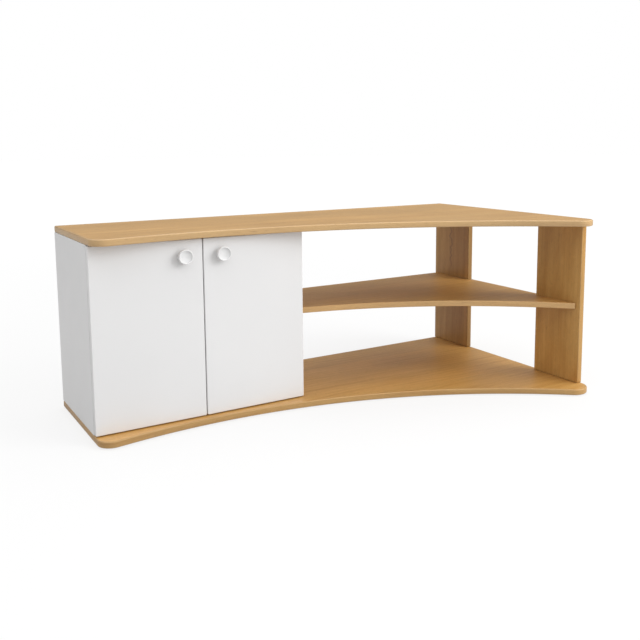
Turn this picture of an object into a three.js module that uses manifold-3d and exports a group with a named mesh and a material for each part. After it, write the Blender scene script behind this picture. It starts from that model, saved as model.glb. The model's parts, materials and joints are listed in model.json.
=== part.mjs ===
// A corner media cabinet: two oak boards with a hollow front edge, a white two-door cupboard at the left,
// and an open bay with one oak shelf at the right, closed by two upright oak panels.
//
// Millimetres, +Z up. X runs along the back edge, -Y is the front. The origin is on the floor, under the
// middle of the object's box. Pieces are drawn in plan coordinates first: x from the left end, y from the
// back edge, so the front is at negative y. One group then moves everything to the origin.
import * as THREE from "three";
import { mergeVertices } from "three/addons/utils/BufferGeometryUtils.js";
import Module from "manifold-3d";

// ---- Overall sizes
const WIDTH = 1400;
const HEIGHT = 535;
const LEFT_DEPTH = 413; // where the front curve meets the left end, before the corner is rounded
const RIGHT_DEPTH = 814; // where the front curve meets the right-hand edge, before the corner is rounded
const FRONT_RADIUS = 1520;
const LEFT_CORNER_RADIUS = 38;
const RIGHT_CORNER_RADIUS = 46;

// ---- Boards and panels
const BOARD = 18;
const SEAT_GAP = 0.3; // between pieces that rest against each other
const GLIDE_HEIGHT = 3;

// ---- Cupboard
const CUPBOARD_WIDTH = 607;
const DOOR_FACE = 356; // from the back edge to the outer face of the doors
const DOOR_THICKNESS = 16;
const DOOR_BACK_GAP = 3; // from the inner face of a door to the front edge of the side panels
const DOOR_END_GAP = 3; // above and below a door
const DOOR_MEETING_GAP = 3;
const DOOR_FACE_ROUNDING = 2;
const DOOR_BACK_ROUNDING = 3;
const BACK_PANEL = 3;
const GROOVE_DEPTH = 6;
const GROOVE_SETBACK = 12; // from the back edge to the rear wall of the groove
const CUPBOARD_SHELF = 16;
const CUPBOARD_SHELF_RISE = 232; // from the bottom board to the underside of the inner shelf
const CUPBOARD_SHELF_SETBACK = 22;
const CUPBOARD_SHELF_SIDE_GAP = 1;

// ---- Open bay
const OPEN_SHELF_RISE = 251; // from the bottom board to the top of the open shelf
const SHELF_DEPTH_LEFT = 274; // of the open shelf at the partition
const SHELF_SETBACK_RIGHT = 10; // from the front edge of the end panel to the corner of the shelf
const SHELF_FRONT_RADIUS = 1302;
const CORNER_PANEL_LENGTH = 188;
const END_PANEL_LENGTH = 184;
const END_PANEL_SETBACK = 2; // behind the place where the right-hand edge starts to round off

// ---- Knobs
const KNOB_RADIUS = 20;
const KNOB_HEIGHT = 20;
const KNOB_STEM_RADIUS = 9;
const KNOB_STEM_HEIGHT = 9;
const KNOB_DISH = 3.5;
const KNOB_RIM = 3.5;
const KNOB_INSET = 53; // from the meeting edge of a door to the middle of its knob
const KNOB_DROP = 44; // from the top edge of a door to the middle of its knob
const KNOB_SCREW_RADIUS = 1.9;
const KNOB_SCREW_HEAD_RADIUS = 4.2;
const KNOB_SCREW_HEAD = 2.4;
const KNOB_SCREW_REACH = 9; // into the knob
const SCREW_CLEARANCE = 0.4;

// ---- Concealed hinges
const HINGE_AXIS_DISTANCE = 9; // from the outer edge of a door to the turning axis
const HINGE_AXIS_SINK = 9.5; // from the inner face of a door to the turning axis
const HINGE_INSET = 90; // from the end of a door to the middle of its hinge
const CUP_RADIUS = 17.2;
const CUP_BORE_RADIUS = 17.5;
const CUP_EDGE_DISTANCE = 22.5; // from the outer edge of a door to the middle of the cup
const CUP_DEPTH = 12;
const CUP_WALL = 0.8;
const CUP_FLANGE = 1.2;
const CUP_FLANGE_RADIUS = 19;
const ARM_WIDTH = 8;
const ARM_LEG = 2; // thickness of the leg inside the cup
const ARM_NECK = 2.5;
const ARM_BODY = 10; // thickness of the arm over its plate
const ARM_LENGTH = 58; // of the arm along the side panel
const PLATE_THICKNESS = 4;
const PLATE_DISTANCE = 37; // from the front edge of the side panel to the middle of the plate
const PLATE_LENGTH = 26;
const PLATE_WIDTH = 16;
const PLATE_WING = 48;
const PLATE_STUD_RADIUS = 2.3;
const PLATE_STUD_LENGTH = 9;
const PLATE_STUD_SPACING = 32;

// ---- Small fittings
const BUMPER_RADIUS = 4;
const BUMPER_INSET = 14; // from the outer edge of a door to the middle of its bumper
const BUMPER_DROP = 25; // from the top edge of a door to the middle of its bumper
const PIN_RADIUS = 2.3;
const PIN_IN_PANEL = 8;
const PIN_UNDER_SHELF = 9;
const PIN_BACK_DISTANCE = 60;
const PIN_FRONT_DISTANCE = 55; // from the front edge of the inner shelf
const DOWEL_RADIUS = 4;
const DOWEL_IN_PANEL = 20;
const DOWEL_IN_BOARD = 12;
const SHELF_DOWEL_IN_PANEL = 10;
const DOWEL_END_ROOM = 1;
const FIXING_INSET = 45; // from the end of a panel to its first dowel or screw
const SCREW_RADIUS = 3;
const SCREW_HEAD_RADIUS = 5;
const SCREW_HEAD = 3;
const SCREW_LENGTH = 50;
const GLIDE_RADIUS = 12;
const GLIDE_PIN_RADIUS = 2.5;
const GLIDE_PIN_LENGTH = 8;
const GLIDE_INSET = 45;

// ---- Steps in round shapes
const LONG_ARC_STEPS = 30;
const CORNER_STEPS = 8;
const EDGE_STEPS = 3;
const ROUND_STEPS = 20;
const HOLE_STEPS = 12;

// ---- Levels and places that follow from the sizes above
const bottomBoardBase = GLIDE_HEIGHT;
const bottomBoardTop = bottomBoardBase + BOARD;
const topBoardBase = HEIGHT - BOARD;
const panelBase = bottomBoardTop + SEAT_GAP;
const panelTop = topBoardBase - SEAT_GAP;
const doorBase = bottomBoardTop + DOOR_END_GAP;
const doorTop = topBoardBase - DOOR_END_GAP;
const doorWidth = (CUPBOARD_WIDTH - DOOR_MEETING_GAP) / 2;
const doorBackFace = DOOR_FACE - DOOR_THICKNESS;
const sidePanelDepth = doorBackFace - DOOR_BACK_GAP;
const partitionLeft = CUPBOARD_WIDTH - BOARD;
const rightPanelFace = WIDTH - BOARD;
const openShelfTop = bottomBoardTop + OPEN_SHELF_RISE;
const openShelfBase = openShelfTop - BOARD;
const cupboardShelfBase = bottomBoardTop + CUPBOARD_SHELF_RISE;
const cupboardShelfBack = GROOVE_SETBACK + 2 * SEAT_GAP + BACK_PANEL + CUPBOARD_SHELF_SIDE_GAP;
const cupboardShelfFront = sidePanelDepth - CUPBOARD_SHELF_SETBACK;

const frontArc = arcCentre(0, -LEFT_DEPTH, WIDTH, -RIGHT_DEPTH, FRONT_RADIUS);
const leftCorner = cornerCentre(LEFT_CORNER_RADIUS, LEFT_CORNER_RADIUS);
const rightCorner = cornerCentre(WIDTH - RIGHT_CORNER_RADIUS, RIGHT_CORNER_RADIUS);
const overallDepth = RIGHT_CORNER_RADIUS - rightCorner.y;
const endPanelFront = -rightCorner.y - END_PANEL_SETBACK;
const endPanelBack = endPanelFront - END_PANEL_LENGTH;
const shelfDepthRight = endPanelFront - SHELF_SETBACK_RIGHT;

// ---- Finishes
const finishes = {
  oak: { color: 0xb98a55, roughness: 0.42, metalness: 0 },
  white: { color: 0xe9e8e6, roughness: 0.38, metalness: 0 },
  hardboard: { color: 0xdedcd8, roughness: 0.6, metalness: 0 },
  beech: { color: 0xd9b98c, roughness: 0.7, metalness: 0 },
  steel: { color: 0xb9bcc0, roughness: 0.3, metalness: 0.9 },
  plastic: { color: 0xf0efec, roughness: 0.45, metalness: 0 },
  felt: { color: 0x6f675e, roughness: 0.95, metalness: 0 },
};

const manifoldLibrary = await Module();
manifoldLibrary.setup();

const cabinet = new THREE.Group();
const pieces = new THREE.Group();
pieces.position.set(-WIDTH / 2, overallDepth / 2, 0);
cabinet.add(pieces);

function addPiece(name, geometry, finish) {
  const mesh = new THREE.Mesh(geometry, new THREE.MeshStandardMaterial(finishes[finish]));
  mesh.name = name;
  pieces.add(mesh);
}

// ---- Plan geometry

// Centre of the circle of one radius through two points, on the side of the room.
function arcCentre(startX, startY, endX, endY, radius) {
  const chord = new THREE.Vector2(endX - startX, endY - startY);
  const middle = new THREE.Vector2((startX + endX) / 2, (startY + endY) / 2);
  const rise = Math.sqrt(radius ** 2 - (chord.length() / 2) ** 2);
  const outward = new THREE.Vector2(chord.y, -chord.x).normalize();
  return middle.add(outward.multiplyScalar(rise));
}

// Centre of a rounded corner that touches an upright end of the board and the front curve.
function cornerCentre(x, radius) {
  const reach = FRONT_RADIUS + radius;
  return new THREE.Vector2(x, frontArc.y + Math.sqrt(reach ** 2 - (x - frontArc.x) ** 2));
}

function arcPoints(centre, radius, startAngle, endAngle, steps) {
  const points = [];
  for (let step = 0; step <= steps; step += 1) {
    const angle = startAngle + ((endAngle - startAngle) * step) / steps;
    points.push(new THREE.Vector2(centre.x + radius * Math.cos(angle), centre.y + radius * Math.sin(angle)));
  }
  return points;
}

function angleTo(from, to) {
  return Math.atan2(to.y - from.y, to.x - from.x);
}

// Outline shared by the top and bottom boards: square at the back, hollow in front, both front corners round.
function boardOutline() {
  const leftMeeting = angleTo(leftCorner, frontArc) + 2 * Math.PI;
  const rightMeeting = angleTo(rightCorner, frontArc);
  const curveStart = angleTo(frontArc, leftCorner);
  const curveEnd = angleTo(frontArc, rightCorner);
  return new THREE.Shape([
    new THREE.Vector2(WIDTH, 0),
    new THREE.Vector2(0, 0),
    ...arcPoints(leftCorner, LEFT_CORNER_RADIUS, Math.PI, leftMeeting, CORNER_STEPS),
    ...arcPoints(frontArc, FRONT_RADIUS, curveStart, curveEnd, LONG_ARC_STEPS).slice(1, -1),
    ...arcPoints(rightCorner, RIGHT_CORNER_RADIUS, rightMeeting, -Math.PI / 2, CORNER_STEPS),
    ...arcPoints(rightCorner, RIGHT_CORNER_RADIUS, -Math.PI / 2, 0, CORNER_STEPS).slice(1),
  ]);
}

// The open shelf follows the front curve further back, and is notched around both upright panels.
function openShelfOutline() {
  const left = CUPBOARD_WIDTH + SEAT_GAP;
  const notch = rightPanelFace - SEAT_GAP;
  const centre = arcCentre(left, -SHELF_DEPTH_LEFT, notch, -shelfDepthRight, SHELF_FRONT_RADIUS);
  const startAngle = angleTo(centre, { x: left, y: -SHELF_DEPTH_LEFT });
  const endAngle = angleTo(centre, { x: notch, y: -shelfDepthRight });
  return new THREE.Shape([
    new THREE.Vector2(notch, 0),
    new THREE.Vector2(left, 0),
    ...arcPoints(centre, SHELF_FRONT_RADIUS, startAngle, endAngle, LONG_ARC_STEPS),
    new THREE.Vector2(notch, -(endPanelBack - SEAT_GAP)),
    new THREE.Vector2(WIDTH, -(endPanelBack - SEAT_GAP)),
    new THREE.Vector2(WIDTH, -(CORNER_PANEL_LENGTH + SEAT_GAP)),
    new THREE.Vector2(notch, -(CORNER_PANEL_LENGTH + SEAT_GAP)),
  ]);
}

// ---- Solids

function slab(outline, base, top) {
  const geometry = new THREE.ExtrudeGeometry(outline, { depth: top - base, bevelEnabled: false });
  return geometry.translate(0, 0, base);
}

function block(minX, maxX, backDepth, frontDepth, base, top) {
  const geometry = new THREE.BoxGeometry(maxX - minX, frontDepth - backDepth, top - base);
  return geometry.translate((minX + maxX) / 2, -(backDepth + frontDepth) / 2, (base + top) / 2);
}

function uprightRod(radius, x, depth, base, top, steps = HOLE_STEPS) {
  const geometry = new THREE.CylinderGeometry(radius, radius, top - base, steps);
  return geometry.rotateX(Math.PI / 2).translate(x, -depth, (base + top) / 2);
}

function crossRod(radius, depth, z, minX, maxX, steps = HOLE_STEPS) {
  const geometry = new THREE.CylinderGeometry(radius, radius, maxX - minX, steps);
  return geometry.rotateZ(Math.PI / 2).translate((minX + maxX) / 2, -depth, z);
}

function forwardRod(radius, x, z, backDepth, frontDepth, steps = HOLE_STEPS) {
  const geometry = new THREE.CylinderGeometry(radius, radius, frontDepth - backDepth, steps);
  return geometry.translate(x, -(backDepth + frontDepth) / 2, z);
}

// A turned piece: profile points are [radius, height] pairs that start and end on the axis or close up.
function turned(profile, steps = ROUND_STEPS) {
  const points = profile.map(([radius, height]) => new THREE.Vector2(radius, height));
  return new THREE.LatheGeometry(points, steps);
}

function toSolid(geometry) {
  const bare = geometry.clone();
  bare.deleteAttribute("normal");
  bare.deleteAttribute("uv");
  const merged = mergeVertices(bare, 1e-4);
  return new manifoldLibrary.Manifold(
    new manifoldLibrary.Mesh({
      numProp: 3,
      vertProperties: new Float32Array(merged.attributes.position.array),
      triVerts: new Uint32Array(merged.index.array),
    }),
  );
}

function toGeometry(solid) {
  const mesh = solid.getMesh();
  const geometry = new THREE.BufferGeometry();
  geometry.setAttribute("position", new THREE.BufferAttribute(new Float32Array(mesh.vertProperties), 3));
  geometry.setIndex(new THREE.BufferAttribute(new Uint32Array(mesh.triVerts), 1));
  geometry.computeVertexNormals();
  return geometry;
}

function cut(geometry, holes) {
  let solid = toSolid(geometry);
  for (const hole of holes) {
    solid = solid.subtract(toSolid(hole));
  }
  return toGeometry(solid);
}

function join(geometries) {
  let solid = toSolid(geometries[0]);
  for (const geometry of geometries.slice(1)) {
    solid = solid.add(toSolid(geometry));
  }
  return toGeometry(solid);
}

// ---- The four upright panels and where their fixings stand
const uprights = [
  { name: "left_side", x: BOARD / 2, backDepth: 0, frontDepth: sidePanelDepth },
  { name: "partition", x: partitionLeft + BOARD / 2, backDepth: 0, frontDepth: sidePanelDepth },
  { name: "rear_corner", x: rightPanelFace + BOARD / 2, backDepth: 0, frontDepth: CORNER_PANEL_LENGTH },
  { name: "right_end", x: rightPanelFace + BOARD / 2, backDepth: endPanelBack, frontDepth: endPanelFront },
];

function fixingDepths(upright) {
  return { back: upright.backDepth + FIXING_INSET, front: upright.frontDepth - FIXING_INSET };
}

function forEachFixing(action) {
  for (const upright of uprights) {
    for (const [place, depth] of Object.entries(fixingDepths(upright))) {
      action(upright, place, depth);
    }
  }
}

// ---- Dowels into the top board and long screws up through the bottom board
const dowelHole = DOWEL_RADIUS + SEAT_GAP;
const screwHole = SCREW_RADIUS + SCREW_CLEARANCE;
const screwHeadHole = SCREW_HEAD_RADIUS + SCREW_CLEARANCE;

function dowelHoleAt(x, depth) {
  const base = panelTop - DOWEL_IN_PANEL - DOWEL_END_ROOM;
  return uprightRod(dowelHole, x, depth, base, topBoardBase + DOWEL_IN_BOARD + DOWEL_END_ROOM);
}

function screwHoleAt(x, depth) {
  const top = bottomBoardBase + SCREW_LENGTH + DOWEL_END_ROOM;
  return uprightRod(screwHole, x, depth, bottomBoardBase - 1, top);
}

function addPanelFixings() {
  forEachFixing((upright, place, depth) => {
    const dowel = uprightRod(
      DOWEL_RADIUS,
      upright.x,
      depth,
      panelTop - DOWEL_IN_PANEL,
      topBoardBase + DOWEL_IN_BOARD,
    );
    addPiece(`${upright.name}_${place}_dowel`, dowel, "beech");
    const shank = SCREW_LENGTH - SCREW_HEAD - SEAT_GAP;
    const screw = turned([
      [0, 0],
      [SCREW_HEAD_RADIUS, 0],
      [SCREW_HEAD_RADIUS, SCREW_HEAD],
      [SCREW_RADIUS, SCREW_HEAD],
      [SCREW_RADIUS, SCREW_HEAD + shank - SCREW_RADIUS],
      [0, SCREW_HEAD + shank],
    ], HOLE_STEPS);
    screw.rotateX(Math.PI / 2).translate(upright.x, -depth, bottomBoardBase + SEAT_GAP);
    addPiece(`${upright.name}_${place}_screw`, screw, "steel");
  });
}

// ---- Glides under the bottom board
function glidePlaces() {
  const middle = CUPBOARD_WIDTH - BOARD / 2;
  const frontAt = (x) => -(frontArc.y + Math.sqrt(FRONT_RADIUS ** 2 - (x - frontArc.x) ** 2));
  return [
    { name: "back_left", x: GLIDE_INSET, depth: GLIDE_INSET },
    { name: "back_middle", x: middle, depth: 2 * GLIDE_INSET },
    { name: "back_right", x: WIDTH - GLIDE_INSET, depth: GLIDE_INSET },
    { name: "front_left", x: GLIDE_INSET, depth: frontAt(GLIDE_INSET) - GLIDE_INSET },
    { name: "front_middle", x: middle, depth: frontAt(middle) - GLIDE_INSET },
    { name: "front_right", x: WIDTH - GLIDE_INSET, depth: endPanelFront - GLIDE_PIN_RADIUS },
  ];
}

function addGlides() {
  for (const place of glidePlaces()) {
    const glide = turned([
      [0, 0],
      [GLIDE_RADIUS - 1, 0],
      [GLIDE_RADIUS, 1],
      [GLIDE_RADIUS, GLIDE_HEIGHT - SEAT_GAP],
      [GLIDE_PIN_RADIUS, GLIDE_HEIGHT - SEAT_GAP],
      [GLIDE_PIN_RADIUS, GLIDE_HEIGHT + GLIDE_PIN_LENGTH],
      [0, GLIDE_HEIGHT + GLIDE_PIN_LENGTH],
    ]);
    glide.rotateX(Math.PI / 2).translate(place.x, -place.depth, 0);
    addPiece(`glide_${place.name}`, glide, "felt");
  }
}

// ---- Top and bottom boards
function addBoards() {
  const topHoles = [];
  const bottomHoles = [];
  forEachFixing((upright, place, depth) => {
    topHoles.push(dowelHoleAt(upright.x, depth));
    bottomHoles.push(screwHoleAt(upright.x, depth));
    const sink = bottomBoardBase + SCREW_HEAD + 2 * SEAT_GAP;
    bottomHoles.push(uprightRod(screwHeadHole, upright.x, depth, bottomBoardBase - 1, sink));
  });
  for (const place of glidePlaces()) {
    const top = bottomBoardBase + GLIDE_PIN_LENGTH + DOWEL_END_ROOM;
    bottomHoles.push(uprightRod(GLIDE_PIN_RADIUS + SEAT_GAP, place.x, place.depth, bottomBoardBase - 1, top));
  }
  addPiece("top_board", cut(slab(boardOutline(), topBoardBase, HEIGHT), topHoles), "oak");
  addPiece("bottom_board", cut(slab(boardOutline(), bottomBoardBase, bottomBoardTop), bottomHoles), "oak");
}

// ---- Shelf pins and shelf dowels
const shelfPinDepths = {
  back: cupboardShelfBack + PIN_BACK_DISTANCE,
  front: cupboardShelfFront - PIN_FRONT_DISTANCE,
};
const shelfPinHeight = cupboardShelfBase - SEAT_GAP - PIN_RADIUS;
const shelfPinHole = PIN_RADIUS + SEAT_GAP;
const shelfDowelHeight = (openShelfBase + openShelfTop) / 2;

// The four places where a dowel holds the open shelf: two in the partition, one in each right-hand panel.
function shelfDowelPlaces() {
  const notch = rightPanelFace - SEAT_GAP;
  const shelfLeft = CUPBOARD_WIDTH + SEAT_GAP;
  const inPartition = { minX: CUPBOARD_WIDTH - SHELF_DOWEL_IN_PANEL, maxX: shelfLeft + DOWEL_IN_PANEL };
  const inPanel = { minX: notch - DOWEL_IN_PANEL, maxX: rightPanelFace + SHELF_DOWEL_IN_PANEL };
  return [
    { name: "partition_back", depth: 2 * FIXING_INSET, ...inPartition },
    { name: "partition_front", depth: SHELF_DEPTH_LEFT - FIXING_INSET, ...inPartition },
    { name: "rear_corner", depth: CORNER_PANEL_LENGTH / 2, ...inPanel },
    { name: "right_end", depth: (endPanelBack + shelfDepthRight) / 2, ...inPanel },
  ];
}

function shelfDowelHoles(names) {
  const holes = [];
  for (const place of shelfDowelPlaces()) {
    if (names.includes(place.name)) {
      const minX = place.minX - DOWEL_END_ROOM;
      holes.push(crossRod(dowelHole, place.depth, shelfDowelHeight, minX, place.maxX + DOWEL_END_ROOM));
    }
  }
  return holes;
}

function addShelfDowels() {
  for (const place of shelfDowelPlaces()) {
    const dowel = crossRod(DOWEL_RADIUS, place.depth, shelfDowelHeight, place.minX, place.maxX);
    addPiece(`shelf_dowel_${place.name}`, dowel, "beech");
  }
}

// A pin stands in a side panel; inward is +1 for a panel at the left and -1 for one at the right.
function addShelfPins() {
  for (const [side, face, inward] of [["left", BOARD, 1], ["right", partitionLeft, -1]]) {
    for (const [place, depth] of Object.entries(shelfPinDepths)) {
      const pin = turned([
        [0, -PIN_IN_PANEL],
        [PIN_RADIUS, -PIN_IN_PANEL],
        [PIN_RADIUS, PIN_UNDER_SHELF],
        [0, PIN_UNDER_SHELF],
      ], HOLE_STEPS);
      pin.rotateZ((-inward * Math.PI) / 2).translate(face, -depth, shelfPinHeight);
      addPiece(`shelf_pin_${side}_${place}`, pin, "steel");
    }
  }
}

// ---- Hinges. A door is described from its own outer edge: side +1 opens to the left, -1 to the right.
const doors = [
  { name: "left", outerX: 0, inward: 1 },
  { name: "right", outerX: CUPBOARD_WIDTH, inward: -1 },
];
const hingeHeights = { lower: doorBase + HINGE_INSET, upper: doorTop - HINGE_INSET };
const cupFloor = doorBackFace + CUP_DEPTH;
const plateMiddle = sidePanelDepth - PLATE_DISTANCE;

function forEachHinge(action) {
  for (const door of doors) {
    for (const [place, height] of Object.entries(hingeHeights)) {
      action(door, place, height);
    }
  }
}

// Shape in plan from [distance in from the outer edge, depth from the back] pairs.
function planShape(door, corners) {
  return new THREE.Shape(
    corners.map(([distance, depth]) => new THREE.Vector2(door.outerX + door.inward * distance, -depth)),
  );
}

function addHingeCup(door, place, height) {
  const inner = CUP_RADIUS - CUP_WALL;
  const cup = turned([
    [0, 0],
    [CUP_RADIUS, 0],
    [CUP_RADIUS, CUP_DEPTH + SEAT_GAP],
    [CUP_FLANGE_RADIUS, CUP_DEPTH + SEAT_GAP],
    [CUP_FLANGE_RADIUS, CUP_DEPTH + SEAT_GAP + CUP_FLANGE],
    [inner, CUP_DEPTH + SEAT_GAP + CUP_FLANGE],
    [inner, CUP_WALL],
    [0, CUP_WALL],
  ]);
  cup.translate(door.outerX + door.inward * CUP_EDGE_DISTANCE, -cupFloor, height);
  addPiece(`${door.name}_${place}_hinge_cup`, cup, "steel");
}

function addHingeArm(door, place, height) {
  const legFront = doorBackFace + HINGE_AXIS_SINK + ARM_LEG / 2;
  const legBack = legFront - ARM_LEG;
  const bodyInner = BOARD + SEAT_GAP + PLATE_THICKNESS + SEAT_GAP;
  const bodyOuter = bodyInner + ARM_BODY;
  const bodyFront = sidePanelDepth - ARM_NECK;
  const arm = planShape(door, [
    [HINGE_AXIS_DISTANCE - ARM_LEG / 2, legFront],
    [bodyOuter, legFront],
    [bodyOuter, bodyFront - ARM_LENGTH],
    [bodyInner, bodyFront - ARM_LENGTH],
    [bodyInner, bodyFront],
    [bodyOuter - ARM_NECK, bodyFront],
    [bodyOuter - ARM_NECK, legBack],
    [HINGE_AXIS_DISTANCE - ARM_LEG / 2, legBack],
  ]);
  const geometry = slab(arm, height - ARM_WIDTH / 2, height + ARM_WIDTH / 2);
  addPiece(`${door.name}_${place}_hinge_arm`, geometry, "steel");
}

function plateStudHeights(height) {
  return [height - PLATE_STUD_SPACING / 2, height + PLATE_STUD_SPACING / 2];
}

function addHingePlate(door, place, height) {
  const face = BOARD + SEAT_GAP;
  const at = (distance) => door.outerX + door.inward * distance;
  const span = (near, far) => [Math.min(at(near), at(far)), Math.max(at(near), at(far))];
  const back = plateMiddle - PLATE_LENGTH / 2;
  const front = plateMiddle + PLATE_LENGTH / 2;
  const wingHalf = PLATE_WIDTH / 2;
  const across = span(face, face + PLATE_THICKNESS);
  const body = block(...across, back, front, height - wingHalf, height + wingHalf);
  const wing = block(
    ...span(face, face + PLATE_THICKNESS - 1),
    plateMiddle - PLATE_WIDTH / 4,
    plateMiddle + PLATE_WIDTH / 4,
    height - PLATE_WING / 2,
    height + PLATE_WING / 2,
  );
  const studs = plateStudHeights(height).map((studHeight) =>
    crossRod(PLATE_STUD_RADIUS, plateMiddle, studHeight, ...span(BOARD - PLATE_STUD_LENGTH, face + 1)),
  );
  addPiece(`${door.name}_${place}_hinge_plate`, join([body, wing, ...studs]), "steel");
}

function addHinges() {
  forEachHinge((door, place, height) => {
    addHingeCup(door, place, height);
    addHingeArm(door, place, height);
    addHingePlate(door, place, height);
  });
}

// ---- Upright panels
// Holes in the inner face of a cupboard side: hinge plate studs and shelf pins.
function cupboardSideHoles(door) {
  const at = (distance) => door.outerX + door.inward * distance;
  const holes = [];
  const deepest = BOARD - PLATE_STUD_LENGTH - DOWEL_END_ROOM;
  const studSpan = [at(deepest), at(BOARD + 1)].sort((low, high) => low - high);
  for (const height of Object.values(hingeHeights)) {
    for (const studHeight of plateStudHeights(height)) {
      holes.push(crossRod(PLATE_STUD_RADIUS + SEAT_GAP, plateMiddle, studHeight, ...studSpan));
    }
  }
  const pinSpan = [at(BOARD - PIN_IN_PANEL - DOWEL_END_ROOM), at(BOARD + 1)].sort((low, high) => low - high);
  for (const depth of Object.values(shelfPinDepths)) {
    holes.push(crossRod(shelfPinHole, depth, shelfPinHeight, ...pinSpan));
  }
  return holes;
}

function backGroove() {
  const front = GROOVE_SETBACK + BACK_PANEL + 2 * SEAT_GAP;
  const left = BOARD - GROOVE_DEPTH;
  const right = partitionLeft + GROOVE_DEPTH;
  return block(left, right, GROOVE_SETBACK, front, bottomBoardTop, topBoardBase);
}

function uprightFixingHoles(name) {
  const upright = uprights.find((candidate) => candidate.name === name);
  return Object.values(fixingDepths(upright)).flatMap((depth) => [
    dowelHoleAt(upright.x, depth),
    screwHoleAt(upright.x, depth),
  ]);
}

function addUpright(name, nodeName, finish, extraHoles) {
  const upright = uprights.find((candidate) => candidate.name === name);
  const left = upright.x - BOARD / 2;
  const panel = block(left, left + BOARD, upright.backDepth, upright.frontDepth, panelBase, panelTop);
  addPiece(nodeName, cut(panel, [...uprightFixingHoles(name), ...extraHoles]), finish);
}

function addUprights() {
  const [leftDoor, rightDoor] = doors;
  addUpright("left_side", "left_side_panel", "white", [backGroove(), ...cupboardSideHoles(leftDoor)]);
  const partitionHoles = [backGroove(), ...cupboardSideHoles(rightDoor)];
  partitionHoles.push(...shelfDowelHoles(["partition_back", "partition_front"]));
  addUpright("partition", "partition_panel", "white", partitionHoles);
  addUpright("rear_corner", "rear_corner_panel", "oak", shelfDowelHoles(["rear_corner"]));
  addUpright("right_end", "right_end_panel", "oak", shelfDowelHoles(["right_end"]));
}

// ---- Cupboard back, inner shelf and open shelf
function addCupboardBack() {
  const left = BOARD - GROOVE_DEPTH + SEAT_GAP;
  const right = partitionLeft + GROOVE_DEPTH - SEAT_GAP;
  const rear = GROOVE_SETBACK + SEAT_GAP;
  addPiece("cupboard_back", block(left, right, rear, rear + BACK_PANEL, panelBase, panelTop), "hardboard");
}

function addCupboardShelf() {
  const left = BOARD + CUPBOARD_SHELF_SIDE_GAP;
  const right = partitionLeft - CUPBOARD_SHELF_SIDE_GAP;
  const top = cupboardShelfBase + CUPBOARD_SHELF;
  const shelf = block(left, right, cupboardShelfBack, cupboardShelfFront, cupboardShelfBase, top);
  addPiece("cupboard_shelf", shelf, "white");
}

function addOpenShelf() {
  const names = shelfDowelPlaces().map((place) => place.name);
  const shelf = slab(openShelfOutline(), openShelfBase, openShelfTop);
  addPiece("open_shelf", cut(shelf, shelfDowelHoles(names)), "oak");
}

// ---- Doors with their knobs and bumpers
function knobPlace(door) {
  return { x: door.outerX + door.inward * (doorWidth - KNOB_INSET), z: doorTop - KNOB_DROP };
}

function doorOutline(door) {
  const minX = Math.min(door.outerX, door.outerX + door.inward * doorWidth);
  const maxX = minX + doorWidth;
  const quarter = Math.PI / 2;
  const corner = (x, depth, radius, start) =>
    arcPoints({ x, y: -depth }, radius, start, start + quarter, EDGE_STEPS);
  const face = DOOR_FACE - DOOR_FACE_ROUNDING;
  const back = doorBackFace + DOOR_BACK_ROUNDING;
  return new THREE.Shape([
    ...corner(maxX - DOOR_BACK_ROUNDING, back, DOOR_BACK_ROUNDING, 0),
    ...corner(minX + DOOR_BACK_ROUNDING, back, DOOR_BACK_ROUNDING, quarter),
    ...corner(minX + DOOR_FACE_ROUNDING, face, DOOR_FACE_ROUNDING, 2 * quarter),
    ...corner(maxX - DOOR_FACE_ROUNDING, face, DOOR_FACE_ROUNDING, 3 * quarter),
  ]);
}

function addDoor(door) {
  const knob = knobPlace(door);
  const cupX = door.outerX + door.inward * CUP_EDGE_DISTANCE;
  const boreFloor = cupFloor + SEAT_GAP;
  const holes = Object.values(hingeHeights).map((height) =>
    forwardRod(CUP_BORE_RADIUS, cupX, height, doorBackFace - 1, boreFloor, ROUND_STEPS),
  );
  const screwRoom = KNOB_SCREW_RADIUS + SCREW_CLEARANCE;
  holes.push(forwardRod(screwRoom, knob.x, knob.z, doorBackFace - 1, DOOR_FACE + 1));
  addPiece(`${door.name}_door`, cut(slab(doorOutline(door), doorBase, doorTop), holes), "white");
}

function addKnob(door) {
  const place = knobPlace(door);
  const screwRoom = KNOB_SCREW_RADIUS + SCREW_CLEARANCE;
  const lip = KNOB_RADIUS - KNOB_RIM;
  const knob = turned([
    [0, KNOB_SCREW_REACH + DOWEL_END_ROOM],
    [screwRoom, KNOB_SCREW_REACH + DOWEL_END_ROOM],
    [screwRoom, SEAT_GAP],
    [KNOB_STEM_RADIUS, SEAT_GAP],
    [KNOB_STEM_RADIUS, KNOB_STEM_HEIGHT],
    [KNOB_RADIUS - 1, KNOB_STEM_HEIGHT + 3],
    [KNOB_RADIUS, KNOB_STEM_HEIGHT + 5],
    [KNOB_RADIUS, KNOB_HEIGHT - 1.5],
    [KNOB_RADIUS - 0.5, KNOB_HEIGHT - 0.4],
    [KNOB_RADIUS - 1.5, KNOB_HEIGHT],
    [lip + 0.5, KNOB_HEIGHT - 0.2],
    [lip - 1, KNOB_HEIGHT - KNOB_DISH * 0.6],
    [lip - 4, KNOB_HEIGHT - KNOB_DISH * 0.9],
    [0, KNOB_HEIGHT - KNOB_DISH],
  ]);
  knob.rotateX(Math.PI).translate(place.x, -DOOR_FACE, place.z);
  addPiece(`${door.name}_knob`, knob, "plastic");
}

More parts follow.
